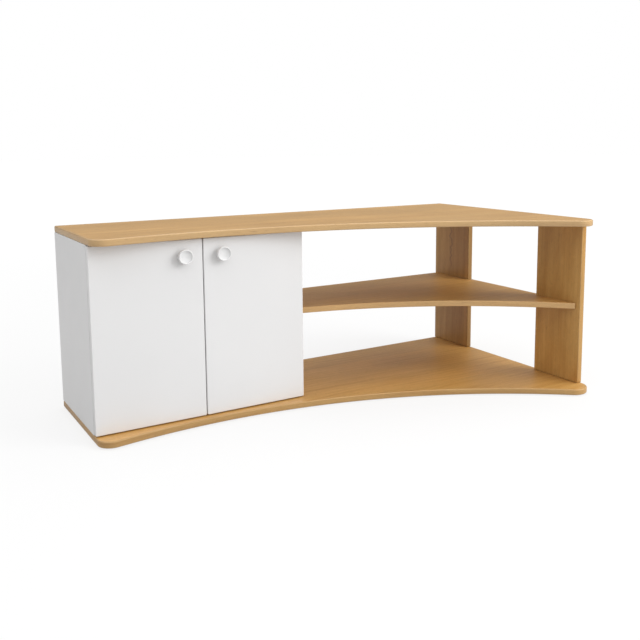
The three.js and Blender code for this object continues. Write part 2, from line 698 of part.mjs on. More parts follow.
function addKnobScrew(door) {
  const place = knobPlace(door);
  const tip = DOOR_THICKNESS + KNOB_SCREW_REACH;
  const screw = turned([
    [0, -KNOB_SCREW_HEAD],
    [KNOB_SCREW_HEAD_RADIUS - 1, -KNOB_SCREW_HEAD],
    [KNOB_SCREW_HEAD_RADIUS, -SEAT_GAP - 1],
    [KNOB_SCREW_HEAD_RADIUS, -SEAT_GAP],
    [KNOB_SCREW_RADIUS, -SEAT_GAP],
    [KNOB_SCREW_RADIUS, tip],
    [0, tip],
  ], HOLE_STEPS);
  screw.rotateX(Math.PI).translate(place.x, -doorBackFace, place.z);
  addPiece(`${door.name}_knob_screw`, screw, "steel");
}

function addBumper(door) {
  const x = door.outerX + door.inward * BUMPER_INSET;
  const back = sidePanelDepth + SEAT_GAP;
  const bumper = forwardRod(BUMPER_RADIUS, x, doorTop - BUMPER_DROP, back, doorBackFace - SEAT_GAP);
  addPiece(`${door.name}_bumper`, bumper, "plastic");
}

addBoards();
addUprights();
addCupboardBack();
addCupboardShelf();
addOpenShelf();
addPanelFixings();
addShelfDowels();
addShelfPins();
addGlides();
addHinges();
for (const door of doors) {
  addDoor(door);
  addKnob(door);
  addKnobScrew(door);
  addBumper(door);
}

export default cabinet;
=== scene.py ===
"""Looks of a low corner media cabinet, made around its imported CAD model.

Two oak boards with a hollow front hold a white two-door cupboard at the left and an open oak bay at the
right. Each piece is made in mesh code, rides on its CAD body and stands for one CAD node. Metres, +Z up,
-Y is the front.
"""

import json
import logging
import math
from abc import ABC, abstractmethod
from dataclasses import dataclass, field
from enum import Enum
from typing import ClassVar

import bmesh
import bpy
from mathutils import Matrix, Vector


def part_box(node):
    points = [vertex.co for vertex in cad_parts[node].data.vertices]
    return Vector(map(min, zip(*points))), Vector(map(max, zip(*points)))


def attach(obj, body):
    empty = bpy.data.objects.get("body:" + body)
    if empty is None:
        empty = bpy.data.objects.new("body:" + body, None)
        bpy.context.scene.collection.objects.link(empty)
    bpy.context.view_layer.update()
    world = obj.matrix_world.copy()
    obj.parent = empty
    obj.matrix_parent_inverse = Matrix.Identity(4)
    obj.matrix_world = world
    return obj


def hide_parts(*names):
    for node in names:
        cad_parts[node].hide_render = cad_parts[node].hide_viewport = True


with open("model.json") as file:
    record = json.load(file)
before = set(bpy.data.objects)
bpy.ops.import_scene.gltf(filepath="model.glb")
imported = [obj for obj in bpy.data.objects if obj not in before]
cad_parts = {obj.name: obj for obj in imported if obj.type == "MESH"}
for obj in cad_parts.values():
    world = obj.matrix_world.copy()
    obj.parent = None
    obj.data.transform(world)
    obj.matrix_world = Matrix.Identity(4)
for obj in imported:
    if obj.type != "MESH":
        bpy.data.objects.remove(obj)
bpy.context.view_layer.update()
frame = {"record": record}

LOG = logging.getLogger("media_cabinet")
MM = 0.001
SEAT_GAP = 0.3 * MM  # air that mating pieces keep
BOARD = 18 * MM
RUN_MAP = "run"  # UV map: metres along an edge, metres across it
RUB = "rub"  # 1 on an arris that hands and cloths rub, 0 on flat faces
WHITE = (1.0, 1.0, 1.0, 1.0)
TO_BACK = Vector((0, 1, 0))
TO_FRONT = Vector((0, -1, 0))
DOWN = Vector((0, 0, -1))
QUARTER = math.pi / 2

Socket = bpy.types.NodeSocket
Value = Socket | float | tuple[float, ...]
Colour = tuple[float, float, float]
Plan = list[Vector]


class Facing(Enum):
    """Direction of a plank's thickness."""

    UP = "z"
    ACROSS = "x"
    FORWARD = "y"


class Grain(Enum):
    """Direction of the wood grain on a piece."""

    LENGTHWISE = "x"
    UPRIGHT = "z"
    ALONG_EDGE = "edge"


class Recess(Enum):
    """Shape of the driver recess in a screw head."""

    CROSS = "cross"
    HEXAGON = "hexagon"


# ---- Finishes


class Recipe:
    """Shader nodes in one tree, added one by one and linked as they are used."""

    def __init__(self, tree: bpy.types.NodeTree) -> None:
        """Starts with an empty tree.

        Args:
            tree: Node tree of a material or of the world.
        """
        self.tree = tree
        self.tree.nodes.clear()

    def add(
        self, kind: str, inputs: dict[str | int, Value] | None = None, **settings: object
    ) -> bpy.types.Node:
        """Adds one node.

        Args:
            kind: Type name of the node.
            inputs: Value or linked socket for each input that isn't left at its default.
            **settings: Properties of the node itself.

        Returns:
            The new node.
        """
        node = self.tree.nodes.new(kind)
        for key, value in settings.items():
            setattr(node, key, value)
        for key, value in (inputs or {}).items():
            if isinstance(value, Socket):
                self.tree.links.new(value, node.inputs[key])
            else:
                node.inputs[key].default_value = value
        return node

    def object_place(self) -> Socket:
        """Gives the place on the cabinet, in metres."""
        return self.add("ShaderNodeTexCoord").outputs["Object"]

    def edge_place(self) -> Socket:
        """Gives metres along and across an edge."""
        return self.add("ShaderNodeUVMap", uv_map=RUN_MAP).outputs["UV"]

    def rub(self) -> Socket:
        """Gives how much a spot is rubbed."""
        return self.add("ShaderNodeAttribute", attribute_name=RUB).outputs["Fac"]

    def mapped(
        self,
        vector: Socket,
        scale: tuple[float, float, float] = (1, 1, 1),
        shift: tuple[float, float, float] = (0, 0, 0),
        turn: tuple[float, float, float] = (0, 0, 0),
    ) -> Socket:
        """Scales, turns and then shifts a place.

        Args:
            vector: Place to change.
            scale: Factors along the three axes.
            shift: Distances, added last.
            turn: Angles in degrees.

        Returns:
            The changed place.
        """
        angles = tuple(math.radians(angle) for angle in turn)
        inputs = {"Vector": vector, "Location": shift, "Rotation": angles, "Scale": scale}
        return self.add("ShaderNodeMapping", inputs).outputs[0]

    def noise(
        self, vector: Socket, scale: float, detail: float = 2, roughness: float = 0.5, distortion: float = 0
    ) -> Socket:
        """Gives soft noise from 0 to 1.

        Args:
            vector: Place to read it at.
            scale: Features in a unit of length.
            detail: Number of finer layers.
            roughness: Strength of the finer layers.
            distortion: How much the noise bends itself.

        Returns:
            The noise value.
        """
        inputs = {"Vector": vector, "Scale": scale, "Detail": detail}
        inputs |= {"Roughness": roughness, "Distortion": distortion}
        return self.add("ShaderNodeTexNoise", inputs).outputs["Fac"]

    def math(self, operation: str, first: Value, second: Value = 0.0) -> Socket:
        """Gives the result of one sum on two numbers."""
        return self.add("ShaderNodeMath", {0: first, 1: second}, operation=operation).outputs[0]

    def span(self, value: Socket, low: float, high: float, new_low: float, new_high: float) -> Socket:
        """Maps a range of numbers to another, clamped.

        Args:
            value: Number to map.
            low: Start of its range.
            high: End of its range.
            new_low: What low becomes.
            new_high: What high becomes.

        Returns:
            The mapped number.
        """
        inputs = {"Value": value, "From Min": low, "From Max": high, "To Min": new_low, "To Max": new_high}
        return self.add("ShaderNodeMapRange", inputs).outputs[0]

    def mix(self, share: Value, first: Value, second: Value, blend: str = "MIX") -> Socket:
        """Mixes two colours.

        Args:
            share: How much of the second colour shows.
            first: First colour, three numbers or a socket.
            second: Second colour, three numbers or a socket.
            blend: Way of mixing.

        Returns:
            The mixed colour.
        """
        full = [value if isinstance(value, Socket) else (*value, 1.0) for value in (first, second)]
        inputs = {0: share, 6: full[0], 7: full[1]}
        return self.add("ShaderNodeMix", inputs, data_type="RGBA", blend_type=blend).outputs[2]

    def combine(self, x: Value, y: Value, z: Value) -> Socket:
        """Puts three numbers together as a place."""
        return self.add("ShaderNodeCombineXYZ", {0: x, 1: y, 2: z}).outputs[0]

    def sum_of(self, first: Socket, second: Socket) -> Socket:
        """Adds two places."""
        return self.add("ShaderNodeVectorMath", {0: first, 1: second}, operation="ADD").outputs[0]

    def bump(self, height: Socket, strength: float, depth: float) -> Socket:
        """Gives the surface direction over small relief.

        Args:
            height: Relief from 0 to 1.
            strength: How strongly it shows.
            depth: Real depth of the relief in metres.

        Returns:
            The surface direction.
        """
        inputs = {"Height": height, "Strength": strength, "Distance": depth}
        return self.add("ShaderNodeBump", inputs).outputs["Normal"]

    def finish(
        self, colour: Socket, roughness: Value, normal: Socket, more: dict[str, Value] | None = None
    ) -> None:
        """Ends the recipe with one surface shader.

        Args:
            colour: Base colour.
            roughness: How rough the surface is.
            normal: Surface direction over its relief.
            more: Value for each other shader input that is set.
        """
        sockets = {"Base Color": colour, "Roughness": roughness, "Normal": normal, **(more or {})}
        shader = self.add("ShaderNodeBsdfPrincipled", sockets)
        self.add("ShaderNodeOutputMaterial", {"Surface": shader.outputs[0]})


class Finish(ABC):
    """A finish that is mixed once and then used on many pieces."""

    name: str
    made: ClassVar[dict["Finish", bpy.types.Material]] = {}

    def material(self) -> bpy.types.Material:
        """Gives this finish's material, made at the first use.

        Returns:
            The material.
        """
        if self not in Finish.made:
            made = bpy.data.materials.new(self.name)
            made.use_nodes = True
            self.mix(Recipe(made.node_tree))
            Finish.made[self] = made
        return Finish.made[self]

    @abstractmethod
    def mix(self, recipe: Recipe) -> None:
        """Mixes the finish.

        Args:
            recipe: Empty recipe of the new material.
        """


@dataclass(frozen=True)
class Oak(Finish):
    """Satin-lacquered oak: long soft streaks, faint arches, fine pores and pale ray flecks, with a painted
    sheen and a factor that also paints light and shade where they are set.
    """

    name: str
    grain: Grain
    cut: tuple[float, float, float] = (0.0, 0.0, 0.0)  # where in the log this veneer lies, in metres
    pale: Colour = (0.665, 0.395, 0.128)
    dark: Colour = (0.460, 0.224, 0.048)
    figure: float = 0.42  # share of the arches in the colour
    leaf: float = 0.17  # width of one veneer leaf
    leaf_start: float = 0.0
    # scales the colour: the piece's own tone, and on some pieces painted light and shade (lit edges lighter,
    # shaded ones darker)
    tone_and_painted_light: float = 1.0
    painted_sheen: float = 0.0  # painted sheen: how far the colour pales towards a grey tan, as sky reflection and light would pale it, from 0 to 1
    mineral_line: tuple[float, float, float] | None = None  # place across the grain, then its two ends
    mineral_colour: Colour = (0.16, 0.075, 0.03)
    mineral_width: tuple[float, float] = (0.6 * MM, 4.2 * MM)  # half of its dark core, half of its soft edge
    mineral_fade: tuple[float, float] = (0.04, 0.05)  # length over which it fades at its low and high end
    # grey tan that the painted sheen mixes in, in place of reflection and light
    sheen_colour: Colour = (0.60, 0.45, 0.27)
    pore_colour: Colour = (0.20, 0.115, 0.05)
    rubbed_colour: Colour = (0.66, 0.46, 0.25)

    def mix(self, recipe: Recipe) -> None:
        """Mixes the finish.

        Args:
            recipe: Empty recipe of the new material.
        """
        wood = self.log_place(recipe)
        waver = recipe.noise(recipe.mapped(wood, (1.3, 5, 5)), 1, 2)
        sway = recipe.span(waver, 0.25, 0.75, -0.016, 0.016)
        bent = recipe.sum_of(wood, recipe.combine(0.0, sway, sway))
        streak = recipe.noise(recipe.mapped(bent, (2.6, 85, 85)), 1, 5, 0.62)
        thread = recipe.noise(recipe.mapped(bent, (9, 480, 480)), 1, 3, 0.55)
        arches = self.arches(recipe, bent)
        pores = self.pores(recipe, bent)
        depth = self.layers(recipe, streak, thread, arches)
        colour = self.leaves(recipe, wood, recipe.mix(depth, self.dark, self.pale))
        # painted sheen: the colour is paled as sky reflection and light would pale it
        colour = recipe.mix(self.painted_sheen, colour, self.sheen_colour)
        colour = recipe.mix(recipe.math("MULTIPLY", pores, 0.42), colour, self.pore_colour)
        if self.mineral_line:
            colour = recipe.mix(self.line(recipe), colour, self.mineral_colour)
        rubbed = recipe.math("MULTIPLY", recipe.rub(), recipe.span(streak, 0.3, 0.7, 0.05, 0.28))
        colour = recipe.mix(rubbed, colour, self.rubbed_colour)
        gloss = recipe.span(recipe.noise(wood, 7, 3), 0.3, 0.7, 0.40, 0.50)
        roughness = recipe.math("ADD", gloss, recipe.math("MULTIPLY", pores, 0.16))
        relief = recipe.math("SUBTRACT", recipe.math("MULTIPLY", thread, 0.35), pores)
        coat = {"Coat Weight": 0.34, "Coat Roughness": 0.3}
        recipe.finish(colour, roughness, recipe.bump(relief, 0.22, 0.12 * MM), coat)

    def log_place(self, recipe: Recipe) -> Socket:
        """Gives the place in the log, with the grain along X.

        Args:
            recipe: Recipe to add nodes to.

        Returns:
            The place.
        """
        if self.grain is Grain.ALONG_EDGE:
            return recipe.mapped(recipe.edge_place(), shift=self.cut)
        turn = (0.0, 90.0, 0.0) if self.grain is Grain.UPRIGHT else (0.0, 0.0, 0.0)
        return recipe.mapped(recipe.object_place(), shift=self.cut, turn=turn)

    def arches(self, recipe: Recipe, bent: Socket) -> Socket:
        """Gives the year rings, cut at a shallow slant so that they run out into long arches.

        Args:
            recipe: Recipe to add nodes to.
            bent: Place in the log.

        Returns:
            Light and dark rings from 0 to 1.
        """
        slanted = recipe.mapped(bent, (0.55, 1, 1), turn=(0, 2.2, 3.4))
        inputs = {"Vector": slanted, "Scale": 17.0, "Distortion": 2.6}
        inputs |= {"Detail": 3.0, "Detail Scale": 2.2, "Detail Roughness": 0.6}
        shape = {"wave_type": "RINGS", "rings_direction": "X", "wave_profile": "SIN"}
        return recipe.add("ShaderNodeTexWave", inputs, **shape).outputs["Fac"]

    def line(self, recipe: Recipe) -> Socket:
        """Gives the dark wavy mineral line of an upright panel.

        Args:
            recipe: Recipe to add nodes to.

        Returns:
            How dark the line is.
        """
        across, low, high = self.mineral_line
        place = recipe.add("ShaderNodeSeparateXYZ", {0: recipe.object_place()}).outputs
        upward = recipe.combine(0.0, 0.0, place[2])
        wave = recipe.span(recipe.noise(upward, 34, 3, 0.6), 0.25, 0.75, -0.018, 0.018)
        off = recipe.math("ABSOLUTE", recipe.math("SUBTRACT", recipe.math("ADD", place[1], wave), across))
        thin = recipe.span(off, *self.mineral_width, 0.6, 0.0)
        start = recipe.span(place[2], low, low + self.mineral_fade[0], 0.0, 1.0)
        end = recipe.span(place[2], high - self.mineral_fade[1], high, 1.0, 0.0)
        return recipe.math("MULTIPLY", thin, recipe.math("MULTIPLY", start, end))

    def pores(self, recipe: Recipe, bent: Socket) -> Socket:
        """Gives short open pores along the grain.

        Args:
            recipe: Recipe to add nodes to.
            bent: Place in the log.

        Returns:
            1 in a pore and 0 beside it.
        """
        dashes = recipe.noise(recipe.mapped(bent, (42, 1500, 1500)), 1, 1)
        return recipe.span(dashes, 0.60, 0.70, 0.0, 1.0)

    def layers(self, recipe: Recipe, streak: Socket, thread: Socket, arches: Socket) -> Socket:
        """Adds the layers of grain together.

        Args:
            recipe: Recipe to add nodes to.
            streak: Long streaks.
            thread: Fine lines.
            arches: Year rings.

        Returns:
            0 for the dark colour to 1 for the pale one.
        """
        figure = recipe.math("MULTIPLY", arches, self.figure * 0.5)
        broad = recipe.math("MULTIPLY", recipe.span(streak, 0.30, 0.70, 0, 1), 0.56)
        fine = recipe.math("MULTIPLY", recipe.span(thread, 0.3, 0.7, 0, 1), 0.24)
        total = recipe.math("ADD", recipe.math("ADD", figure, broad), fine)
        return recipe.span(total, 0.0, 0.86 + self.figure * 0.5, 0.0, 1.0)

    def leaves(self, recipe: Recipe, wood: Socket, colour: Socket) -> Socket:
        """Gives each leaf of veneer its own brightness, with pale ray flecks and slow changes over it, all
        scaled by the piece's factor, which on some pieces is painted light and shade.

        Args:
            recipe: Recipe to add nodes to.
            wood: Place in the log.
            colour: Colour of the grain.

        Returns:
            The toned colour.
        """
        across = recipe.add("ShaderNodeSeparateXYZ", {0: wood}).outputs[1]
        leaves_across = recipe.math("DIVIDE", recipe.math("ADD", across, self.leaf_start), self.leaf)
        count = recipe.math("FLOOR", leaves_across)
        pick = recipe.add("ShaderNodeTexWhiteNoise", {"W": count}, noise_dimensions="1D").outputs["Value"]
        slow = recipe.noise(recipe.mapped(wood, (2.2, 6, 6)), 1, 2)
        # the piece's factor, which on some pieces is painted light and shade
        leaf_tone = recipe.span(pick, 0, 1, 0.93 * self.tone_and_painted_light, 1.05 * self.tone_and_painted_light)
        slow_tone = recipe.span(slow, 0.3, 0.7, 0.91, 1.08)
        flecks = recipe.noise(recipe.mapped(wood, (120, 34, 34)), 1, 1)
        fleck_tone = recipe.span(flecks, 0.62, 0.72, 1.0, 1.05)
        total = recipe.math("MULTIPLY", recipe.math("MULTIPLY", leaf_tone, slow_tone), fleck_tone)
        grey = recipe.combine(total, total, total)
        return recipe.mix(1.0, colour, grey, "MULTIPLY")


def oak_edge(node: str, cut: tuple[float, float, float], tone_and_painted_light: float, painted_sheen: float = 0.0) -> Oak:
    """Gives the finish of a board's edges, one long strip of quiet veneer.

    Args:
        node: CAD node of the board.
        cut: Where in the log the strip lies.
        tone_and_painted_light: Tone of the strip, which on some boards is painted light and shade.
        painted_sheen: How far a painted sheen pales it, in place of reflection and light.

    Returns:
        The finish.
    """
    name = f"oak_{node}_edge"
    return Oak(name, Grain.ALONG_EDGE, cut, figure=0.2, leaf=5.0, tone_and_painted_light=tone_and_painted_light, painted_sheen=painted_sheen)


@dataclass(frozen=True)
class Lacquer(Finish):
    """Sprayed satin lacquer on smooth board, with a little orange peel and softer, duller arrises."""

    name: str = "white_satin_lacquer"
    colour: Colour = (0.785, 0.785, 0.787)
    shade: Colour = (0.760, 0.760, 0.764)
    speck_colour: Colour = (0.70, 0.70, 0.70)
    arris_colour: Colour = (0.84, 0.84, 0.83)
    gloss: float = 0.34

    def mix(self, recipe: Recipe) -> None:
        """Mixes the finish.

        Args:
            recipe: Empty recipe of the new material.
        """
        place = recipe.object_place()
        cloud = recipe.noise(place, 3.2, 3)
        speck = recipe.noise(place, 240, 2)
        colour = recipe.mix(recipe.span(cloud, 0.3, 0.7, 0, 1), self.colour, self.shade)
        colour = recipe.mix(recipe.span(speck, 0.62, 0.75, 0, 0.25), colour, self.speck_colour)
        colour = recipe.mix(recipe.math("MULTIPLY", recipe.rub(), 0.3), colour, self.arris_colour)
        wiped = recipe.span(recipe.noise(place, 14, 4), 0.3, 0.7, self.gloss - 0.04, self.gloss + 0.06)
        roughness = recipe.math("ADD", wiped, recipe.math("MULTIPLY", recipe.rub(), 0.06))
        peel = recipe.noise(place, 330, 2)
        recipe.finish(colour, roughness, recipe.bump(peel, 0.10, 0.06 * MM))


@dataclass(frozen=True)
class BoardCore(Finish):
    """Raw pressed wood fibre, as seen inside a drilled hole or a groove."""

    name: str = "board_core"
    chip_colours: tuple[Colour, Colour] = ((0.28, 0.19, 0.11), (0.56, 0.43, 0.29))
    patch_colour: Colour = (0.62, 0.50, 0.36)

    def mix(self, recipe: Recipe) -> None:
        """Mixes the finish.

        Args:
            recipe: Empty recipe of the new material.
        """
        place = recipe.object_place()
        chips = recipe.noise(recipe.mapped(place, (700, 700, 1600)), 1, 4, 0.65)
        patch = recipe.noise(place, 60, 2)
        colour = recipe.mix(chips, *self.chip_colours)
        colour = recipe.mix(recipe.span(patch, 0.4, 0.7, 0, 0.3), colour, self.patch_colour)
        recipe.finish(colour, 0.9, recipe.bump(chips, 0.5, 0.3 * MM))


@dataclass(frozen=True)
class Hardboard(Finish):
    """Thin hardboard with a roller-painted face that keeps a fine stipple."""

    name: str = "painted_hardboard"
    band_colours: tuple[Colour, Colour] = ((0.735, 0.725, 0.705), (0.755, 0.748, 0.732))
    stipple_colour: Colour = (0.56, 0.53, 0.49)

    def mix(self, recipe: Recipe) -> None:
        """Mixes the finish.

        Args:
            recipe: Empty recipe of the new material.
        """
        place = recipe.object_place()
        stipple = recipe.noise(place, 620, 3, 0.6)
        band = recipe.noise(recipe.mapped(place, (26, 26, 2.2)), 1, 2)
        colour = recipe.mix(recipe.span(band, 0.3, 0.7, 0, 1), *self.band_colours)
        colour = recipe.mix(recipe.span(stipple, 0.35, 0.5, 0.18, 0), colour, self.stipple_colour)
        roughness = recipe.span(stipple, 0.3, 0.7, 0.52, 0.68)
        recipe.finish(colour, roughness, recipe.bump(stipple, 0.25, 0.12 * MM))


@dataclass(frozen=True)
class Beech(Finish):
    """Raw turned beech with short brown flecks."""

    name: str = "raw_beech"
    grain_colours: tuple[Colour, Colour] = ((0.52, 0.35, 0.20), (0.70, 0.53, 0.35))
    fleck_colour: Colour = (0.38, 0.22, 0.12)

    def mix(self, recipe: Recipe) -> None:
        """Mixes the finish.

        Args:
            recipe: Empty recipe of the new material.
        """
        place = recipe.object_place()
        grain = recipe.noise(place, 420, 4, 0.6, 0.8)
        fleck = recipe.noise(recipe.mapped(place, (1500, 1500, 500)), 1, 1)
        colour = recipe.mix(grain, *self.grain_colours)
        colour = recipe.mix(recipe.span(fleck, 0.6, 0.68, 0, 0.5), colour, self.fleck_colour)
        recipe.finish(colour, 0.72, recipe.bump(grain, 0.3, 0.1 * MM))


@dataclass(frozen=True)
class NickelSteel(Finish):
    """Nickel-plated pressed steel with fine roller marks and small dull spots."""

    name: str = "nickel_steel"
    colour: Colour = (0.80, 0.79, 0.77)
    dull_colour: Colour = (0.68, 0.67, 0.65)

    def mix(self, recipe: Recipe) -> None:
        """Mixes the finish.

        Args:
            recipe: Empty recipe of the new material.
        """
        place = recipe.object_place()
        marks = recipe.noise(recipe.mapped(place, (160, 160, 2600)), 1, 3)
        dull = recipe.noise(place, 130, 4, 0.6)
        colour = recipe.mix(recipe.span(dull, 0.35, 0.7, 0, 1), self.colour, self.dull_colour)
        rolled = recipe.span(marks, 0.3, 0.7, 0.28, 0.38)
        roughness = recipe.math("ADD", rolled, recipe.math("MULTIPLY", dull, 0.12))
        recipe.finish(colour, roughness, recipe.bump(marks, 0.12, 0.03 * MM), {"Metallic": 1.0})


@dataclass(frozen=True)
class KnobPlastic(Finish):
    """Smooth white moulded plastic, a little rounder in gloss than the lacquer."""

    name: str = "white_knob_plastic"
    colour: Colour = (0.775, 0.775, 0.775)
    shade: Colour = (0.745, 0.745, 0.745)

    def mix(self, recipe: Recipe) -> None:
        """Mixes the finish.

        Args:
            recipe: Empty recipe of the new material.
        """
        place = recipe.object_place()
        cloud = recipe.noise(place, 90, 3)
        pits = recipe.noise(place, 1800, 2)
        colour = recipe.mix(recipe.span(cloud, 0.3, 0.7, 0, 1), self.colour, self.shade)
        roughness = recipe.span(cloud, 0.3, 0.7, 0.30, 0.40)
        recipe.finish(colour, roughness, recipe.bump(pits, 0.08, 0.03 * MM))


@dataclass(frozen=True)
class Felt(Finish):
    """Grey-brown pressed felt."""

    name: str = "pressed_felt"
    fibre_colours: tuple[Colour, Colour] = ((0.09, 0.078, 0.065), (0.24, 0.21, 0.18))
    tuft_colour: Colour = (0.30, 0.27, 0.235)

    def mix(self, recipe: Recipe) -> None:
        """Mixes the finish.

        Args:
            recipe: Empty recipe of the new material.
        """
        place = recipe.object_place()
        fibre = recipe.noise(place, 1300, 5, 0.7, 1.5)
        tuft = recipe.noise(place, 260, 2)
        colour = recipe.mix(fibre, *self.fibre_colours)
        colour = recipe.mix(recipe.span(tuft, 0.4, 0.7, 0, 0.4), colour, self.tuft_colour)
        recipe.finish(colour, 0.95, recipe.bump(fibre, 0.6, 0.4 * MM))


# ---- Outlines


def arc(centre: Vector, radius: float, start: float, end: float, steps: int) -> Plan:
    """Draws part of a circle.

    Args:
        centre: Centre of the circle.
        radius: Its radius.
        start: First angle in radians.
        end: Last angle in radians.
        steps: Number of straight pieces.

    Returns:
        Points from the first angle to the last.
    """
    points = []
    for step in range(steps + 1):
        angle = start + (end - start) * step / steps
        points.append(centre + radius * Vector((math.cos(angle), math.sin(angle))))
    return points


def angle_to(origin: Vector, point: Vector) -> float:
    """Gives the direction from one point to another, in radians."""
    return math.atan2(point.y - origin.y, point.x - origin.x)


def hollow_centre(start: Vector, end: Vector, radius: float) -> Vector:
    """Finds the centre of a hollow front curve, which lies out in the room.

    Args:
        start: Left end of the curve.
        end: Right end of the curve.
        radius: Radius of the curve.

    Returns:
        The centre.
    """
    chord = end - start
    rise = math.sqrt(radius**2 - (chord.length / 2) ** 2)
    return (start + end) / 2 + rise * Vector((chord.y, -chord.x)).normalized()


def soften(plan: Plan, radius: float, steps: int = 4) -> Plan:
    """Rounds each sharp corner of an outline.

    Args:
        plan: Closed outline, anticlockwise.
        radius: Radius of the rounding.
        steps: Straight pieces in each rounding.

    Returns:
        The rounded outline.
    """
    sharp = math.radians(25)
    rounded = []
    for index, point in enumerate(plan):
        arriving = (point - plan[index - 1]).normalized()
        leaving = (plan[(index + 1) % len(plan)] - point).normalized()
        turn = math.atan2(arriving.cross(leaving), arriving.dot(leaving))
        if abs(turn) < sharp:
            rounded.append(point.copy())
            continue
        side = math.copysign(1.0, turn)
        start = point - arriving * radius * math.tan(abs(turn) / 2)
        centre = start + side * radius * Vector((-arriving.y, arriving.x))
        first = angle_to(centre, start)
        rounded += arc(centre, radius, first, first + turn, steps)
    return rounded


def rectangle(low: tuple[float, float], high: tuple[float, float]) -> Plan:
    """Draws a rectangle, anticlockwise."""
    return [Vector(low), Vector((high[0], low[1])), Vector(high), Vector((low[0], high[1]))]


def inset(plan: Plan, distance: float) -> Plan:
    """Moves an outline inwards by the same distance all round.

    Args:
        plan: Closed outline, anticlockwise.
        distance: How far it moves.

    Returns:
        The smaller outline, with the same number of points.
    """
    moved = []
    for index, point in enumerate(plan):
        arriving = (point - plan[index - 1]).normalized()
        leaving = (plan[(index + 1) % len(plan)] - point).normalized()
        first = Vector((-arriving.y, arriving.x))
        second = Vector((-leaving.y, leaving.x))
        moved.append(point + distance * (first + second) / (1 + first.dot(second)))
    return moved


# ---- Workshop


